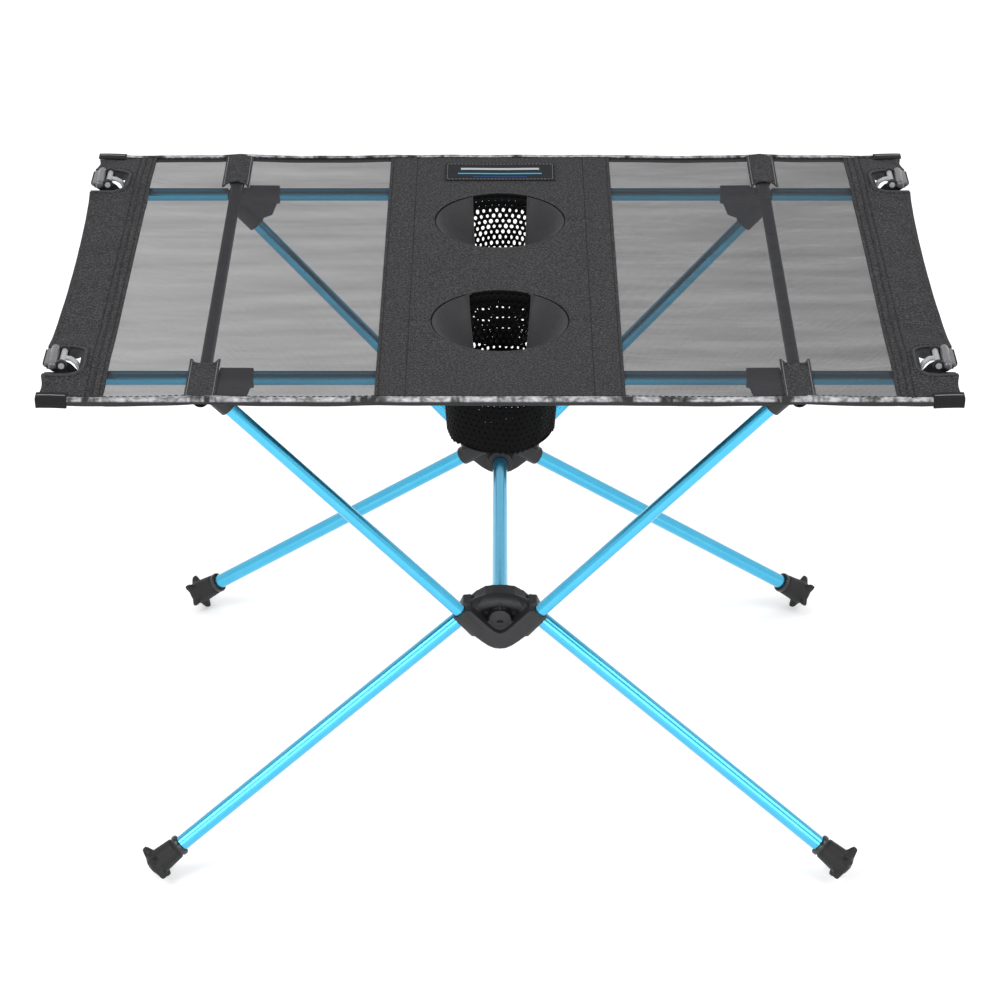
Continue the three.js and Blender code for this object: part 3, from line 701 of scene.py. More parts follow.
def hub():
    flip = lambda p, s: p * vec(s, 1, 1)
    z = lambda h: HUB_Z + h
    mirror = lambda pts: [*pts, *[(-a, b) for a, b in reversed(pts[1:-1])]]
    y = lambda d: -(HUB_Y + d)
    band = [
        (0, z(-16.6)), (4, z(-16.1)), (8, z(-14.2)), (13.5, z(-10)), (21.1, z(-3.2)), (29.6, z(4.6)),
        (25.6, z(13.6)), (20.6, z(14.2)), (14, z(7.6)), (8, z(1.4)), (3.6, z(-2.6)), (0, z(-4))
    ]
    web = [
        (0, z(20)), (5, z(19.8)), (10.1, z(18.8)), (15, z(15.6)), (19.9, z(11.4)), (28.6, z(4.4)),
        (21.1, z(-3)), (13.5, z(-9.6)), (8, z(-13)), (0, z(-14.6))
    ]
    solids = [plate(mirror(band), y(12.6), y(-11)), plate(mirror(web), y(-1.5), y(-14))]
    for s in (-1, 1):
        solids.append(rod(flip(STRUT_IN - STRUT_DIR, s), flip(STRUT_MOUTH + 0.4 * STRUT_DIR, s), 7.8, 6.9))
        solids.append(rod(flip(LEG_IN - 2.5 * LEG_DIR, s), flip(LEG_MOUTH + 0.4 * LEG_DIR, s), 7.6, 6.9))
        shoulder = [
            (9.5, -14, 19.4), (9.5, -3, 18.2), (15, -14, 16), (22, -12, 7), (20.5, 6, 12), (22, 0, 7),
            (18, -3, 8), (17, 7.6, 14)
        ]
        solids.append(convex([vec(s * a, y(d), z(h)) for a, d, h in shoulder]))
    arch = [
        vec(30 * math.sin(a), y(-2.5 + 2 * math.sin(a) ** 2), z(-11 + 25 * math.cos(a)))
        for a in np.linspace(-1.05, 1.05, 17)
    ]
    solids += [
        swept(arch, disc_section(5.6, 20)),
        rod((0, y(-9), z(1)), (0, y(7.2), z(2.6)), 8.3, 8.1, 48),
        rod((0, y(-12), HUB_Z), (0, y(-25), HUB_Z), 9.5, 9.3, 48),
        block(-0.6, 0.6, y(4), y(-6), z(8), z(15)),
    ]
    cuts = []
    for s in (-1, 1):
        for end, mouth, way, r in (
            (STRUT_IN, STRUT_MOUTH, STRUT_DIR, STRUT_R), (LEG_IN, LEG_MOUTH, LEG_DIR, LEG_R)
        ):
            cuts.append(rod(flip(end - 0.3 * way, s), flip(mouth + 20 * way, s), r + SOCKET_GAP, None, 48))
        cuts.append(rod(flip(LEG_IN + LEG_DIR, s), (-s * 0.2, LEG_IN[1], LEG_IN[2] + 3), 1.9, None, 16))
    cuts.append(rod((0, y(-4.7), HUB_Z), (0, y(-60), HUB_Z), SPREAD_R + SOCKET_GAP, None, 48))
    cuts.append(turned([(0, 0), (2.4, 0), (1.6, 1.3), (0, 1.5)], (0, y(7.3), z(1.9)), (0, 0, z(1.9)), 32))
    ob = moulded("hub_front", solids, cuts, MAT["plastic"], voxel=0.42, smooth=6)
    other = twin(ob, "hub_rear", 1, -1)
    settle(ob, "frame", "hub_front", slot="hub_plastic")
    settle(other, "frame", "hub_rear", slot="hub_plastic")


_u, _v, _w = basis(LEG_OUT, LEG_OUT + LEG_DIR)
# The angle that puts one knob straight down.
FOOT_TURN = math.atan2(float(np.dot(_v, (0, 0, -1))), float(np.dot(_u, (0, 0, -1))))


def feet():
    tip = LEG_OUT + 28 * LEG_DIR

    def knobs(a, s, r):
        if s < 18:
            return r
        rise = min(1, (s - 18) / 3.4)
        fall = min(1, max(0, (26.6 - s) / 2.2))
        rise, fall = rise * rise * (3 - 2 * rise), fall * fall * (3 - 2 * fall)
        knob = max(0.0, math.cos(5 * (a - FOOT_TURN) / 2) ** 2) ** 3.4
        return r + rise * (5.4 * knob * (0.05 + 0.95 * fall) - 0.2)

    def foot():
        prof = [
            (0, 15.3), (5.8, 15.3), (5.8, 0.6), (6.1, 0), (7.1, 0), (7.5, 0.4), (7.6, 1.6), (7.5, 2.9),
            (7.1, 3.3), (6.9, 3.7), (7.0, 4.6), (7.6, 5.0), (7.8, 5.6)
        ]
        prof += [(7.85 + 0.09 * k, 6.4 + 1.1 * k) for k in range(8)]
        prof += [
            (8.6, 15), (8.7, 16.2), (8.8, 17.4), (8.85, 18.2), (8.9, 18.9), (8.95, 19.6), (9.0, 20.4),
            (9.1, 21.2), (9.15, 22), (9.1, 22.8), (9.0, 23.5), (8.8, 24.1), (8.5, 24.7), (8.1, 25.3),
            (7.5, 25.9), (6.7, 26.5), (5.4, 27.2), (3, 27.85), (0, 28)
        ]
        b = turned(prof, LEG_OUT, tip, 160, knobs)
        return make("foot", b, MAT["rubber"], sharp=55, move=lambda p: np.maximum(p, (-np.inf, -np.inf, 0.0)))

    ring = [(7.2, 0.1), (7.6, 0.3), (7.8, 0.9), (7.8, 2.6), (7.5, 3.1), (7.0, 3.3), (7.0, 0.2), (7.2, 0.1)]
    at_quarters(foot(), "foot", "leg_{}", "foot_{}", "foot_rubber")
    foot_ring = make("foot_ring", turned(ring, LEG_OUT, tip, 64), MAT["gloss"])
    at_quarters(foot_ring, "foot_ring", "leg_{}", slot="foot_rubber")


def rail_joints():
    y = -RAIL_Y
    x = lambda v: -(POLE_X + v)
    base = STRUT_TOP - 18 * STRUT_DIR
    solids = [
        rod((x(-32), y, RAIL_Z), (x(-10), y, RAIL_Z), 6.7, 6.9),
        block(x(-12), x(5.2), y - 6.3, y + 6.3, RAIL_Z - 5.6, RAIL_Z + 3.2),
        rod(STRUT_TOP + 1.4 * STRUT_DIR, base, 7, 6.7),
        convex(
            [
                (x(-31), y - 3.6, RAIL_Z - 3), (x(-31), y + 3.6, RAIL_Z - 3), (x(4.6), y - 4.8, RAIL_Z - 3),
                (x(4.6), y + 4.8, RAIL_Z - 3), (x(-26), y - 3.6, RAIL_Z - 15), (x(-26), y + 3.6, RAIL_Z - 15),
                (base[0] + 4, base[1] - 3.8, base[2] + 6), (base[0] + 4, base[1] + 3.8, base[2] + 6),
                (x(2), y - 4.8, RAIL_Z - 9), (x(2), y + 4.8, RAIL_Z - 9)
            ]
        ),
        rod((x(4), y, RAIL_Z), (-217.5, y, RAIL_Z), 3.6),
    ]
    cuts = [
        rod((-188.3, y, RAIL_Z), (x(-60), y, RAIL_Z), RAIL_R + SOCKET_GAP, None, 48),
        rod((-POLE_X, y - 30, POLE_Z), (-POLE_X, y + 30, POLE_Z), POLE_R + SOCKET_GAP, None, 48),
        block(-(POLE_X + 4.3), -(POLE_X - 4.3), y - 30, y + 30, POLE_Z, POLE_Z + 12),
        rod(STRUT_TOP + 0.3 * STRUT_DIR, base - 30 * STRUT_DIR, STRUT_R + SOCKET_GAP, None, 48),
    ]
    joint = moulded("joint", solids, cuts, MAT["plastic"], voxel=0.4, smooth=4)
    at_quarters(joint, "joint", "frame", "rail_joint_{}", "hub_plastic")


def tips_and_buckles():
    y, z = -BUCKLE_Y, BUCKLE_Z
    arm = [
        (-269, -RAIL_Y, RAIL_Z), (-273, -RAIL_Y, RAIL_Z + 1.2), (-276.6, -148.4, RAIL_Z + 6),
        (-279.2, -147.8, z - 3), (-282.6, y, z - 0.7), (-TBAR_X, y, z)
    ]
    tip = [
        rod((-254, -RAIL_Y, RAIL_Z), (-269, -RAIL_Y, RAIL_Z), 3.6),
        rod((-268.3, -RAIL_Y, RAIL_Z), (-272, -RAIL_Y, RAIL_Z), 5.3, 5.1),
        swept(arm, disc_section(2.1, 16, 0.75)),
        rod((-TBAR_X, y - 13, z), (-TBAR_X, y + 13, z), 2.1),
    ]
    tip = moulded("tip", tip, [], MAT["tip"], voxel=0.3, smooth=3)
    at_quarters(tip, "tip", "frame", "rail_tip_{}", "buckle_plastic")
    lever = [(0, 0), (1.6, 0.15), (2.6, 1.2), (3.1, 3), (3.1, 26), (2.7, 27.6), (1.6, 28.4), (0, 28.5)]
    solids = [turned(lever, (-LEVER_X, y - 14.2, z + 0.4), (-LEVER_X, y + 14.2, z + 0.4), 40)]
    solids.append(block(-(LIP_X + 1.7), -(LIP_X - 1.1), y - 11, y + 11, z - 1.3, z + 1.3))
    buckle = moulded("buckle", solids, [], MAT["buckle"], voxel=0.25, smooth=4)
    at_quarters(buckle, "buckle", "lever_{}", "buckle_{}", "buckle_plastic")
    arms = []
    for s in (-1, 1):
        a, c = sorted((y + s * 9.5, y + s * 12.4))
        arms += [rod((-TBAR_X, a, z), (-TBAR_X, c, z), 3.6), block(-TBAR_X, -LIP_X, a, c, z - 2.2, z + 0.4)]
    cuts = [rod((-TBAR_X, y - 20, z), (-TBAR_X, y + 20, z), 2.35, None, 32)]
    hook = moulded("hook", arms, cuts, MAT["rubber"], voxel=0.25, smooth=3)
    at_quarters(hook, "hook", "lever_{}", slot="buckle_plastic")


def straps():
    y, z = -BUCKLE_Y, BUCKLE_Z
    low = RAIL_Z - RAIL_R - 1.9

    def strap():
        turn = np.linspace(0, math.pi * 0.72, 9)
        line = [
            (-261, low), (-268, low - 0.1), (-275, low), (-280, z - 14.5), (-284.5, z - 9.4), (-289, z - 6.8),
            (-293.6, z - 5.2), (-296, z - 3.4)
        ]
        line += [(-LIP_X - 2.2 * math.sin(a), z - 2.2 * math.cos(a)) for a in turn]
        ups = []
        for k, (px, pz) in enumerate(line):
            qx, qz = line[min(k + 1, len(line) - 1)]
            ox, oz = line[max(k - 1, 0)]
            ups.append((qz - oz, 0, ox - qx))
        band = [
            (-9, -0.55), (-8.7, -0.6), (8.7, -0.6), (9, -0.55), (9, 0.55), (8.7, 0.6), (-8.7, 0.6), (-9, 0.55)
        ]
        b = swept([(px, y, pz) for px, pz in line], band, ups=ups)
        for s in (-1, 1):
            wall = [
                (y + s * 8.4, low), (y + s * 8.5, RAIL_Z + 4), (y + s * 9.2, RAIL_Z + 7.4),
                (y + s * 15, RAIL_Z + 8)
            ]
            ups = [(0, s, 0.01), (0, s, 0.05), (0, s * 0.6, -1), (0, 0.01, -1)]
            b.merge(
                swept([(-267, a, c) for a, c in wall], [(-6, -0.5), (6, -0.5), (6, 0.5), (-6, 0.5)], ups=ups)
            )
        return make("strap", b, MAT["webbing"], sharp=50)

    for q, ob in four(strap(), "strap_cloth").items():
        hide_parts(f"strap_{q}")
        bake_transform(ob)


def edge_in(y):
    """How far the outer edge of the top is drawn in, in mm."""
    ay = abs(y)
    if ay < BUCKLE_Y - NOTCH_HALF:
        return 3.2 * math.cos(math.pi / 2 * ay / (BUCKLE_Y - NOTCH_HALF)) ** 0.8
    return 2.0 * math.sin(
        math.pi * min(1, max(0, (ay - BUCKLE_Y - NOTCH_HALF) / (HALF_W - 2.6 - BUCKLE_Y - NOTCH_HALF)))
    )


def notch(s, grow=0.0):
    """The outline of a buckle notch on the left side, from its front end round to its rear end."""
    c, h, nx = s * BUCKLE_Y, NOTCH_HALF + grow, NOTCH_IN - grow
    side = [(-HALF_L, h), (-(nx + 13), h)]
    side += [(-(nx + 13) + 13 * math.sin(a), (h - 13) + 13 * math.cos(a)) for a in np.linspace(0.2, 1.37, 7)]
    side.append((-nx, 4))
    return [(x, c - dy) for x, dy in side] + [(x, c + dy) for x, dy in reversed(side)]


def top_cloth():
    y = HALF_W - 2.6
    outline = [(-CENTRE, -y), (CENTRE, -y), (CENTRE, y), (-CENTRE, y)]
    openings = [circle(0, s * CUP_Y, CUP_R) for s in (-1, 1)]
    ob = make("centre_cloth", cloth_mesh(outline, openings, 3.6, TOP_Z, CANVAS_THICK), MAT["canvas"])
    settle(ob, "frame", "centre_panel", slot="canvas")
    outline = [(-END_IN - 1.5, -y), (-CENTRE + 2, -y), (-CENTRE + 2, y), (-END_IN - 1.5, y)]
    mesh = make("wing_left", cloth_mesh(outline, [], 3.6, TOP_Z - 1.3, 0), MAT["mesh"], sharp=None)
    other = twin(mesh, "wing_right", -1, 1)
    for o, side in ((mesh, "left"), (other, "right")):
        settle(o, "frame", f"mesh_panel_{side}", slot="mesh")
    edge = lambda a, c: [(-HALF_L + edge_in(v), v) for v in np.linspace(a, c, max(3, int(abs(c - a) / 4)))]
    lo, hi = BUCKLE_Y - NOTCH_HALF, BUCKLE_Y + NOTCH_HALF
    outline = [
        (-END_IN, -y), (-END_IN, y), *edge(y, hi), *reversed(notch(1)), *edge(lo, -lo), *reversed(notch(-1)),
        *edge(-hi, -y)
    ]
    outline = [p for k, p in enumerate(outline) if math.dist(p, outline[k - 1]) > 0.05]
    end = make("end_cloth_left", cloth_mesh(outline, [], 2.8, TOP_Z, CANVAS_THICK), MAT["canvas"])
    other = twin(end, "end_cloth_right", -1, 1)
    for o, side in ((end, "left"), (other, "right")):
        settle(o, "frame", f"end_panel_{side}", slot="canvas")

    # seam ridge, hem roll and piped notch edges of each end panel
    def on_top(path, dz=0.0):
        return [(px, py, TOP_Z + lift(px, py) + dz) for px, py in path]

    line = lambda x0, a, c, n=110: [(x0, a + (c - a) * k / n) for k in range(n + 1)]
    ridge_section = [(-1.5, -0.2), (1.5, -0.2), (1.1, 0.42), (0.4, 0.68), (-0.4, 0.68), (-1.1, 0.42)]
    b = Builder()
    b.merge(swept(on_top(line(-266.4, -y, y)), ridge_section))
    b.merge(swept(on_top(line(-258.0, -y, y)), [(-1.0, -0.3), (1.0, -0.3), (0.7, 0.3), (-0.7, 0.3)]))
    hem = [
        (-1.0, -3.4), (0.6, -3.4), (1.3, -2.6), (1.5, -1.2), (1.2, 0.05), (0.3, 0.55), (-1.0, 0.5),
        (-2.2, 0.1), (-2.2, -0.6), (-1.2, -1.3)
    ]
    hem = [(-p, c) for p, c in hem][::-1]
    for p, c in ((-y, -hi), (-lo, lo), (hi, y)):
        path = [(px + 1.4, py) for px, py in edge(p, c)]
        b.merge(swept(on_top(path), hem))
    seams = make("end_seams_left", b, MAT["canvas"], sharp=60)
    for o in (twin(seams, "end_seams_right", -1, 1), seams):
        settle(o, "frame", slot="canvas")

    def piping():
        path = [(px, py) for px, py in notch(-1) if px > -HALF_L + 0.1]
        path = [(-HALF_L + 0.8, path[0][1]), *path, (-HALF_L + 0.8, path[-1][1])]
        dense = []
        for (x1, y1), (x2, y2) in zip(path, path[1:]):
            m = max(1, int(math.dist((x1, y1), (x2, y2)) / 2))
            dense += [(x1 + (x2 - x1) * j / m, y1 + (y2 - y1) * j / m) for j in range(m)]
        dense.append(path[-1])
        return make("piping", swept(on_top(dense, -0.1), disc_section(0.95, 10)), MAT["piping"], sharp=60)

    at_quarters(piping(), "piping", "frame", slot="canvas")

    # dark cloth sunk under each notch, open in the middle for the strap
    def lining():
        c = -BUCKLE_Y
        out = -HALF_L + 0.7
        line = [
            (out, c - 21.2), (out, c - 9.7), (-277, c - 9.7), (-277, c + 9.7), (out, c + 9.7),
            (out, c + 21.2), (-285, c + 21.2), (-276.5, c + 17), (-272.2, c + 8), (-272.2, c - 8),
            (-276.5, c - 17), (-285, c - 21.2)
        ]
        b = cloth_mesh(line, [], 1.8, TOP_Z, 0.8)
        pts = b.points()
        r = np.minimum(1, np.hypot(np.maximum(0, 286 + pts[:, 0]) / 13.5, (pts[:, 1] - c) / 21))
        pts[:, 2] -= 0.8 + 4.4 * (1 - r**5)
        return make("notch_lining", Builder().add(pts, b.f), MAT["lining"], sharp=40)

    at_quarters(lining(), "notch_lining", "frame", slot="canvas")


def bindings():
    for side, s in (("front", -1), ("rear", 1)):
        n = 240
        path, taper = [], []
        for k in range(n + 1):
            x = -HALF_L + 0.4 + (2 * HALF_L - 0.8) * k / n
            wob = 0.18 * math.sin(x / 11 + s) + 0.12 * math.sin(x / 4.3)
            path.append(
                (x, s * (HALF_W - 1.7), TOP_Z - 2.2 + lift(x, s * (HALF_W - 1.7)) + 0.1 * math.sin(x / 7.7))
            )
            taper.append(1 + 0.03 * wob)
        sec = [
            (-1.5, -2.3), (-0.6, -2.5), (0.7, -2.4), (1.5, -1.9), (1.75, -0.9), (1.75, 0.6), (1.6, 1.7),
            (0.9, 2.5), (-0.3, 2.85), (-1.6, 2.8), (-2.7, 2.7), (-3.1, 2.45), (-2.6, 2.2), (-1.7, 2.1),
            (-1.6, -1.7)
        ]
        sec = [(a * (1 if s < 0 else -1), c) for a, c in sec]
        if s > 0:
            sec = sec[::-1]
        ob = make(f"tape_{side}", swept(path, sec, taper=taper), MAT["tape"], sharp=50)
        settle(ob, "frame", f"edge_binding_{side}", slot="binding")

    # folded tabs over the corners
    def tab():
        along = np.linspace(-HALF_L - 0.1, -HALF_L + 20, 10)
        path = [(x, -HALF_W + 1.55, TOP_Z - 2.55 + lift(x, -HALF_W + 1.7)) for x in along]
        sec = [
            (-1.2, -3.5), (1.0, -3.6), (1.8, -2.8), (2.05, 0), (1.9, 2.6), (1.0, 3.75), (-1.5, 3.95),
            (-7.5, 3.65), (-7.7, 3.1), (-2, 3.2), (-1.4, -2.5)
        ]
        return make("corner_tab", swept(path, sec), MAT["webbing"], sharp=50)

    def tab_lines():
        b = Builder()
        along = np.linspace(-HALF_L + 0.6, -HALF_L + 19, 8)
        for dy, dz in ((0.5, 2.2), (0.35, -1.4), (4.2, 4.05)):
            line = [(x, -HALF_W + dy, TOP_Z - 2.55 + dz + lift(x, -HALF_W + 1.7)) for x in along]
            b.merge(swept(line, disc_section(0.34, 6)))
        return make("tab_lines", b, MAT["thread"], sharp=None)

    at_quarters(tab_lines(), "tab_lines", "frame", slot="webbing")
    at_quarters(tab(), "corner_tab", "frame", slot="webbing")


def pockets():
    y = HALF_W - 2.8

    def pocket():
        x0, x1 = -POLE_X - 10.0, -POLE_X + 10.0
        y0, y1 = -y, -y + POCKET
        # the mouth dips in the middle and runs out to a point on each side
        mouth = [
            (x0, y1), (x0 + 1.5, y1 - 0.5), (x0 + 3.2, y1 - 5), (x0 + 6, y1 - 7), (-POLE_X, y1 - 7.6),
            (x1 - 6, y1 - 7), (x1 - 3.2, y1 - 5), (x1 - 1.5, y1 - 0.5), (x1, y1)
        ]
        outline = [(x0, y0), (x1, y0), *reversed(mouth)]
        b = cloth_mesh(outline, [], 2.2, TOP_Z + 0.15, 1.0)
        pts = b.points()
        pts[:, 2] += 0.9 * np.exp(-(((pts[:, 0] + POLE_X) / 4.6) ** 2))
        return make("pocket", Builder().add(pts, b.f), MAT["canvas"], sharp=50)

    at_quarters(pocket(), "pocket", "frame", "pole_pocket_{}", "webbing")

    def sling():
        r = POLE_R + 0.4

        def across(radius, lip, flange):
            """Half round under the pole, then a lip and a flange on each side, as pairs out and up."""
            half = [math.pi * k / 14 for k in range(15)]
            arc = [(-radius * math.cos(a), -radius * math.sin(a)) for a in half]
            ends = [flange, lip]
            line = [(-x, z) for x, z in ends] + arc + ends[::-1]
            return [(-POLE_X + x, POLE_Z + z) for x, z in line]

        inner = across(r, (r + 0.4, 1.6), (r + 3.2, 4.4))
        outer = across(r + 0.8, (r + 1.4, 1.4), (r + 4.4, 4.6))
        b = Builder()
        m = len(inner)
        v = []
        for yy in (-189, -RAIL_Y - 9.2):
            v += [(px, yy, pz) for px, pz in inner] + [(px, yy, pz) for px, pz in outer]
        f = []
        for k in range(m - 1):
            f += [
                (k, k + 1, 2 * m + k + 1, 2 * m + k), (m + k + 1, m + k, 3 * m + k, 3 * m + k + 1),
                (k + 1, k, m + k, m + k + 1), (2 * m + k, 2 * m + k + 1, 3 * m + k + 1, 3 * m + k)
            ]
        f += [(0, 2 * m, 3 * m, m), (m - 1, 2 * m - 1, 4 * m - 1, 3 * m - 1)]
        return make("sling", b.add(v, f), MAT["webbing"], sharp=50)

    at_quarters(sling(), "sling", "frame", slot="webbing")


# ---- the net of the cup holders ----
PITCH = 4.9
ROW = PITCH * math.sqrt(3) / 2


def net_radius(z):
    """Radius of the pouch at a height: it narrows downwards and rounds in at the bottom."""
    t = (NET_TOP - z) / (NET_TOP - NET_BOTTOM)
    return CUP_R + 0.2 - 1.6 * t - 2.6 * t * t


def slim(t):
    """The pouch is drawn in at its sides, below the cheeks."""
    return 1 - 0.15 * min(1, max(0, t) / 0.3) ** 1.3


def hex_net(surface, cells, hole, thick=0.8, wrap=None):
    """A knitted net: one ring per cell, joined to its neighbours.

    surface(u, w) gives a point and its normal. cells are centres in mm. hole(u, w) is a radius.
    """
    k = 12
    ang = [2 * math.pi * j / k + math.pi / 6 for j in range(k)]
    R = PITCH / math.sqrt(3)
    verts, faces, seen, outer = [], [], {}, {}

    def vertex(u, w, h):
        if wrap:
            u = round(u % wrap, 2) % round(wrap, 2)
        key = (round(u, 2), round(w, 2), round(h, 2))
        if key not in seen:
            p, n = surface(u, w)
            seen[key] = len(verts)
            verts.append(p + n * h)
        return seen[key]

    for cu, cw in cells:
        size = hole(cu, cw) * (1 + 0.16 * math.sin(cu * 2.9 + cw * 4.1))
        sx = size * (0.95 + 0.14 * math.sin(cu * 1.3 + cw))
        sy = size * (1.1 + 0.16 * math.sin(cu * 0.7 - cw * 1.1))
        rings = []
        for t, h in ((1.0, 0.5), (0.42, 0.42), (0.0, 0.0), (0.42, -0.42), (1.0, -0.5)):
            row = []
            for j, a in enumerate(ang):
                edge = R if j % 2 == 0 else R * math.cos(math.pi / 6)
                ex, ey = edge * math.cos(a), edge * math.sin(a)
                hx, hy = sx * math.cos(a), sy * math.sin(a)
                row.append(vertex(cu + hx + (ex - hx) * t, cw + hy + (ey - hy) * t, h * thick))
            rings.append(row)
        for a, c in zip(rings, rings[1:]):
            for j in range(k):
                faces.append((a[j], a[(j + 1) % k], c[(j + 1) % k], c[j]))
        for j in range(k):
            over, under = rings[0], rings[-1]
            outer[over[j], over[(j + 1) % k]] = (under[j], under[(j + 1) % k])
    # the cut edge of the net is closed all round
    for (a, c), (d, e) in outer.items():
        if (c, a) not in outer:
            faces.append((c, a, d, e))
    return Builder().add(verts, faces)


def cell(i, j, start=0.0):
    """The centre of a cell of the net, each row half a cell along from the last."""
    return (i + (0.5 if j % 2 else 0)) * PITCH, start + j * ROW


def cup(side, cy):
    around = 58
    circumference = around * PITCH
    rows = int((NET_TOP - NET_BOTTOM - 1) / ROW)

    def wall(u, w):
        a = 2 * math.pi * u / circumference
        z = NET_TOP - w
        t = w / (NET_TOP - NET_BOTTOM)
        r = net_radius(z) + t * (0.9 * math.sin(5 * a + 2 * t) + 0.5 * math.sin(11 * a + 4 * t))
        n = vec(math.cos(a), math.sin(a), 0.1)
        return vec(slim(t) * r * math.cos(a), cy + r * math.sin(a), z - 0.8 * t * math.sin(4 * a)), n

    cells = [cell(i, j, 1.5) for j in range(rows + 1) for i in range(around)]
    # the front net hangs slack, so its lower part is drawn closed
    slack = lambda u, w: 1.5 if w < 38 else (0.9 if w < 43 else 0.3)
    b = hex_net(wall, cells, hole=slack if side == "front" else lambda u, w: 1.3, wrap=circumference)
    net = make(f"net_wall_{side}", b, MAT["net"], sharp=None)
    settle(net, "frame", f"cup_net_{side}", slot="net")
    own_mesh(net)

    def fold(u, w):
        p, n = wall(u + 0.9, w)
        return p - n * (1.3 + 0.5 * math.sin(w * 0.9)), n

    cells = [cell(i, j, 1.2) for j in range(2) for i in range(around)]
    b = hex_net(fold, cells, hole=lambda u, w: 0.2, wrap=circumference)
    hem = make(f"net_hem_{side}", b, MAT["net"], sharp=None)
    settle(hem, "frame", slot="net")

    R = net_radius(NET_BOTTOM) - 1.2

    def floor(u, w):
        r = math.hypot(u, w) / R
        z = NET_BOTTOM - 0.6 - 1.2 * (1 - min(1, r * r)) + 0.5 * math.sin(u / 6) * math.cos(w / 7)
        return vec(slim(1) * u, cy + w, z), vec(0, 0, 1)

    n = int(R / PITCH) + 2
    cells = [cell(i, j) for j in range(-n, n + 1) for i in range(-n, n + 1)]
    cells = [c for c in cells if math.hypot(*c) < R - 1.6]
    b = hex_net(floor, cells, hole=lambda u, w: 0.25 if side == "front" else 1.2)
    turns = [2 * math.pi * k / 96 for k in range(96)]
    ring = [
        (slim(1) * R * math.cos(a), cy + R * math.sin(a), NET_BOTTOM - 0.6 + 0.3 * math.sin(7 * a))
        for a in turns
    ]
    b.merge(swept(ring, disc_section(1.3, 10, 0.8), closed=True))
    base = make(f"net_base_{side}", b, MAT["net"], sharp=None)
    settle(base, f"base_{side}", f"cup_base_{side}", slot="net")

    # seam tape under the edge of the opening, drawn in the black net yarn as a painted shadow along the gap
    # between the canvas and the cheeks
    edge = circle(0, 0, 1, 128)
    b = Builder()
    r, out, low = CUP_R + 0.2, CUP_R + 0.4, CUP_R + 0.6
    upper = [(x * r, cy + yy * r, TOP_Z - 0.75 + lift(x * out, cy + yy * out)) for x, yy in edge]
    roll = [(-1.0, -0.8), (0.9, -0.8), (1.0, 0.1), (0.5, 0.55), (-0.4, 0.6), (-1.0, 0.1)]
    b.merge(swept(upper, roll, closed=True))
    lower = [(x * low, cy + yy * low, TOP_Z - 2.6) for x, yy in edge]
    b.merge(swept(lower, [(-0.6, -1.0), (0.6, -1.0), (0.6, 1.0), (-0.6, 1.0)], closed=True))
    rim = make(f"cup_edge_shadow_{side}", b, MAT["net"], sharp=50)
    settle(rim, "frame", f"cup_rim_{side}", slot="canvas")

    # cheeks: smooth cloth from the sides of the opening down to a straight inner edge
    for s, word in ((-1, "left"), (1, "right")):
        nu, nv = 28, 14
        verts = []
        half = 1.13
        middle, slant = (17.6, 5.0) if side == "front" else (18.3, 2.4)
        for i in range(nu + 1):
            a = -half + 2 * half * i / nu
            px, py = (CUP_R - 0.9) * math.cos(a), (CUP_R - 0.9) * math.sin(a)
            inner = middle + slant * (py / CUP_R)
            for j in range(nv + 1):
                t = j / nv
                x = px + (inner - px) * t
                drop = (px - inner) * 0.92
                bow = math.sin(math.pi * t) * (px - inner) * 0.10
                z = TOP_Z - 0.9 - drop * (t**1.2) - bow
                yy = py * (1 - 0.07 * t)
                z += 0.3 * math.sin(yy / 6 + 3 * t) * t
                verts.append((s * x, cy + yy, z))
        faces = []
        for i in range(nu):
            for j in range(nv):
                here, there = i * (nv + 1) + j, (i + 1) * (nv + 1) + j
                q = (here, there, there + 1, here + 1)
                faces.append(q if s > 0 else q[::-1])
        cheek = make(f"cheek_{side}_{word}", Builder().add(verts, faces), MAT["lining"], sharp=None)
        so = cheek.modifiers.new("thick", "SOLIDIFY")
        so.thickness, so.offset = 0.0009, 0
        applied(cheek)
        settle(cheek, "frame", slot="canvas")
        inner_edge = [verts[i * (nv + 1) + nv] for i in range(nu + 1)]
        b = swept(inner_edge, disc_section(0.85, 10))
        hem = make(f"cheek_hem_{side}_{word}", b, MAT["lining"], sharp=None)
        settle(hem, "frame", slot="canvas")


def stitching():
    y = HALF_W - 5.5
    light, dark = Builder(), Builder()
    long = lambda x, n=60: [(x, -y + 2 * y * k / n) for k in range(n + 1)]
    for s in (-1, 1):
        for x in (61.5, 79.2, 259.7, 264.0, 268.6):
            stitch_line(dark, long(s * x))
        for sy in (-1, 1):
            yy = sy * (HALF_W - 5.8)
            stitch_line(dark, [(s * x, yy) for x in np.linspace(4, 296, 60)], pitch=4.2, length=2.8)
    for sx in (-1, 1):
        for sy in (-1, 1):
            stitch_line(dark, [(-sx * px, py) for px, py in notch(sy, 2.2)])
            for x in (POLE_X - 8.6, POLE_X + 8.6):
                stitch_line(
                    light, [(sx * x, sy * (HALF_W - 5)), (sx * x, sy * (HALF_W - POCKET))], top=TOP_Z + 0.3,
                    pitch=3.0
                )
            stitch_line(
                dark, [(sx * (POLE_X - 8), sy * (HALF_W - 50)), (sx * (POLE_X + 8), sy * (HALF_W - 50))],
                top=TOP_Z + 0.35, pitch=3.0
            )
    stitch_line(
        light, [(-38.9, 152.8), (38.9, 152.8), (38.9, 180.2), (-38.9, 180.2)], top=TOP_Z + 0.85, pitch=2.6,
        length=1.9, r=0.2, closed=True
    )
    settle(make("seam_stitches", dark, MAT["dark_thread"], sharp=None), "frame", slot="canvas")
    settle(make("hem_stitches", light, MAT["thread"], sharp=None), "frame", slot="binding")


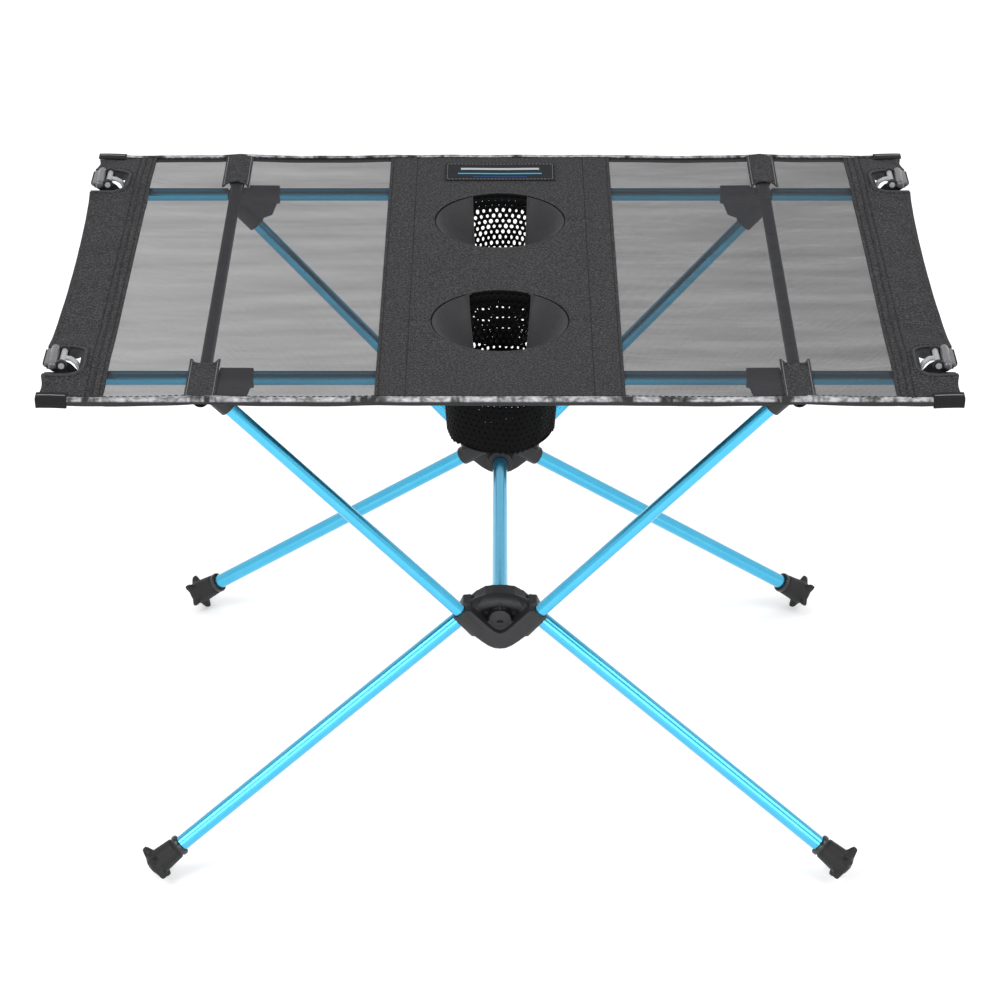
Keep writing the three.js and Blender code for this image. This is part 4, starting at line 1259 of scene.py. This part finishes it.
def label():
    b = cloth_mesh([(-40.5, 151), (40.5, 151), (40.5, 182), (-40.5, 182)], [], 2.4, TOP_Z + 0.85, 0.55)
    ob = settle(make("label", b, MAT["label"], sharp=40), "frame", "label_patch", slot="label")


tubes()
cords()
hub()
feet()
rail_joints()
tips_and_buckles()
top_cloth()
bindings()
pockets()
cup("front", -CUP_Y)
cup("rear", CUP_Y)
stitching()
label()
straps()


# ---- studio ----
def studio():
    n = Nodes("pale_floor")
    n.set(Base_Color=n.mix(n.noise(3, 3), colour("f4f4f4"), colour("f7f7f7")), Roughness=0.9)
    n.set(Emission_Color=(1.0, 1.0, 1.0), Emission_Strength=0.22, Specular_IOR_Level=0.1)
    bpy.ops.mesh.primitive_plane_add(size=30, location=(0, 4, 0))
    floor = bpy.context.object
    floor.name = "floor"
    floor.data.materials.append(n.mat)

    world = bpy.data.worlds.new("studio")
    bpy.context.scene.world = world
    world.use_nodes = True
    nt = world.node_tree
    bg = nt.nodes["Background"]
    tc = nt.nodes.new("ShaderNodeTexCoord")
    sep = nt.nodes.new("ShaderNodeSeparateXYZ")
    nt.links.new(tc.outputs["Generated"], sep.inputs[0])
    ramp = nt.nodes.new("ShaderNodeValToRGB")
    ramp.color_ramp.elements[0].position, ramp.color_ramp.elements[0].color = 0.0, (1.1, 1.1, 1.1, 1)
    ramp.color_ramp.elements[1].position, ramp.color_ramp.elements[1].color = 0.85, (0.2, 0.2, 0.2, 1)
    waist = ramp.color_ramp.elements.new(0.5)
    waist.color = (1.1, 1.1, 1.1, 1)
    nt.links.new(sep.outputs[2], ramp.inputs[0])
    nt.links.new(ramp.outputs[0], bg.inputs[0])
    bg.inputs[1].default_value = 0.85

    def area(name, loc, target, size, power):
        light = bpy.data.lights.new(name, "AREA")
        light.shape, light.size, light.size_y, light.energy = "RECTANGLE", size[0], size[1], power
        ob = bpy.data.objects.new(name, light)
        bpy.context.scene.collection.objects.link(ob)
        ob.location = loc
        ob.rotation_euler = (Vector(target) - Vector(loc)).to_track_quat("-Z", "Y").to_euler()

    area("key", (-1.7, -1.2, 2.4), (0, 0, 0.2), (1.4, 1.8), 40)
    area("fill", (2.0, -0.8, 2.2), (0, 0, 0.2), (1.4, 1.8), 30)
    area("front", (0.0, -3.2, 1.1), (0, 0, 0.2), (3.0, 1.2), 34)
    area("top", (0.0, 0.8, 3.2), (0, 0, 0.2), (2.6, 1.6), 26)

    cam = bpy.data.cameras.new("camera")
    cam.lens, cam.sensor_width = 118.9, 36.0
    cam.clip_end = 50
    ob = bpy.data.objects.new("camera", cam)
    bpy.context.scene.collection.objects.link(ob)
    ob.location = (0, -2.092, 1.368)
    ob.rotation_euler = (math.radians(90 - 29.14), 0, 0)
    bpy.context.scene.camera = ob
    bpy.context.scene.view_settings.view_transform = "Standard"
    bpy.context.scene.view_settings.look = "None"


studio()
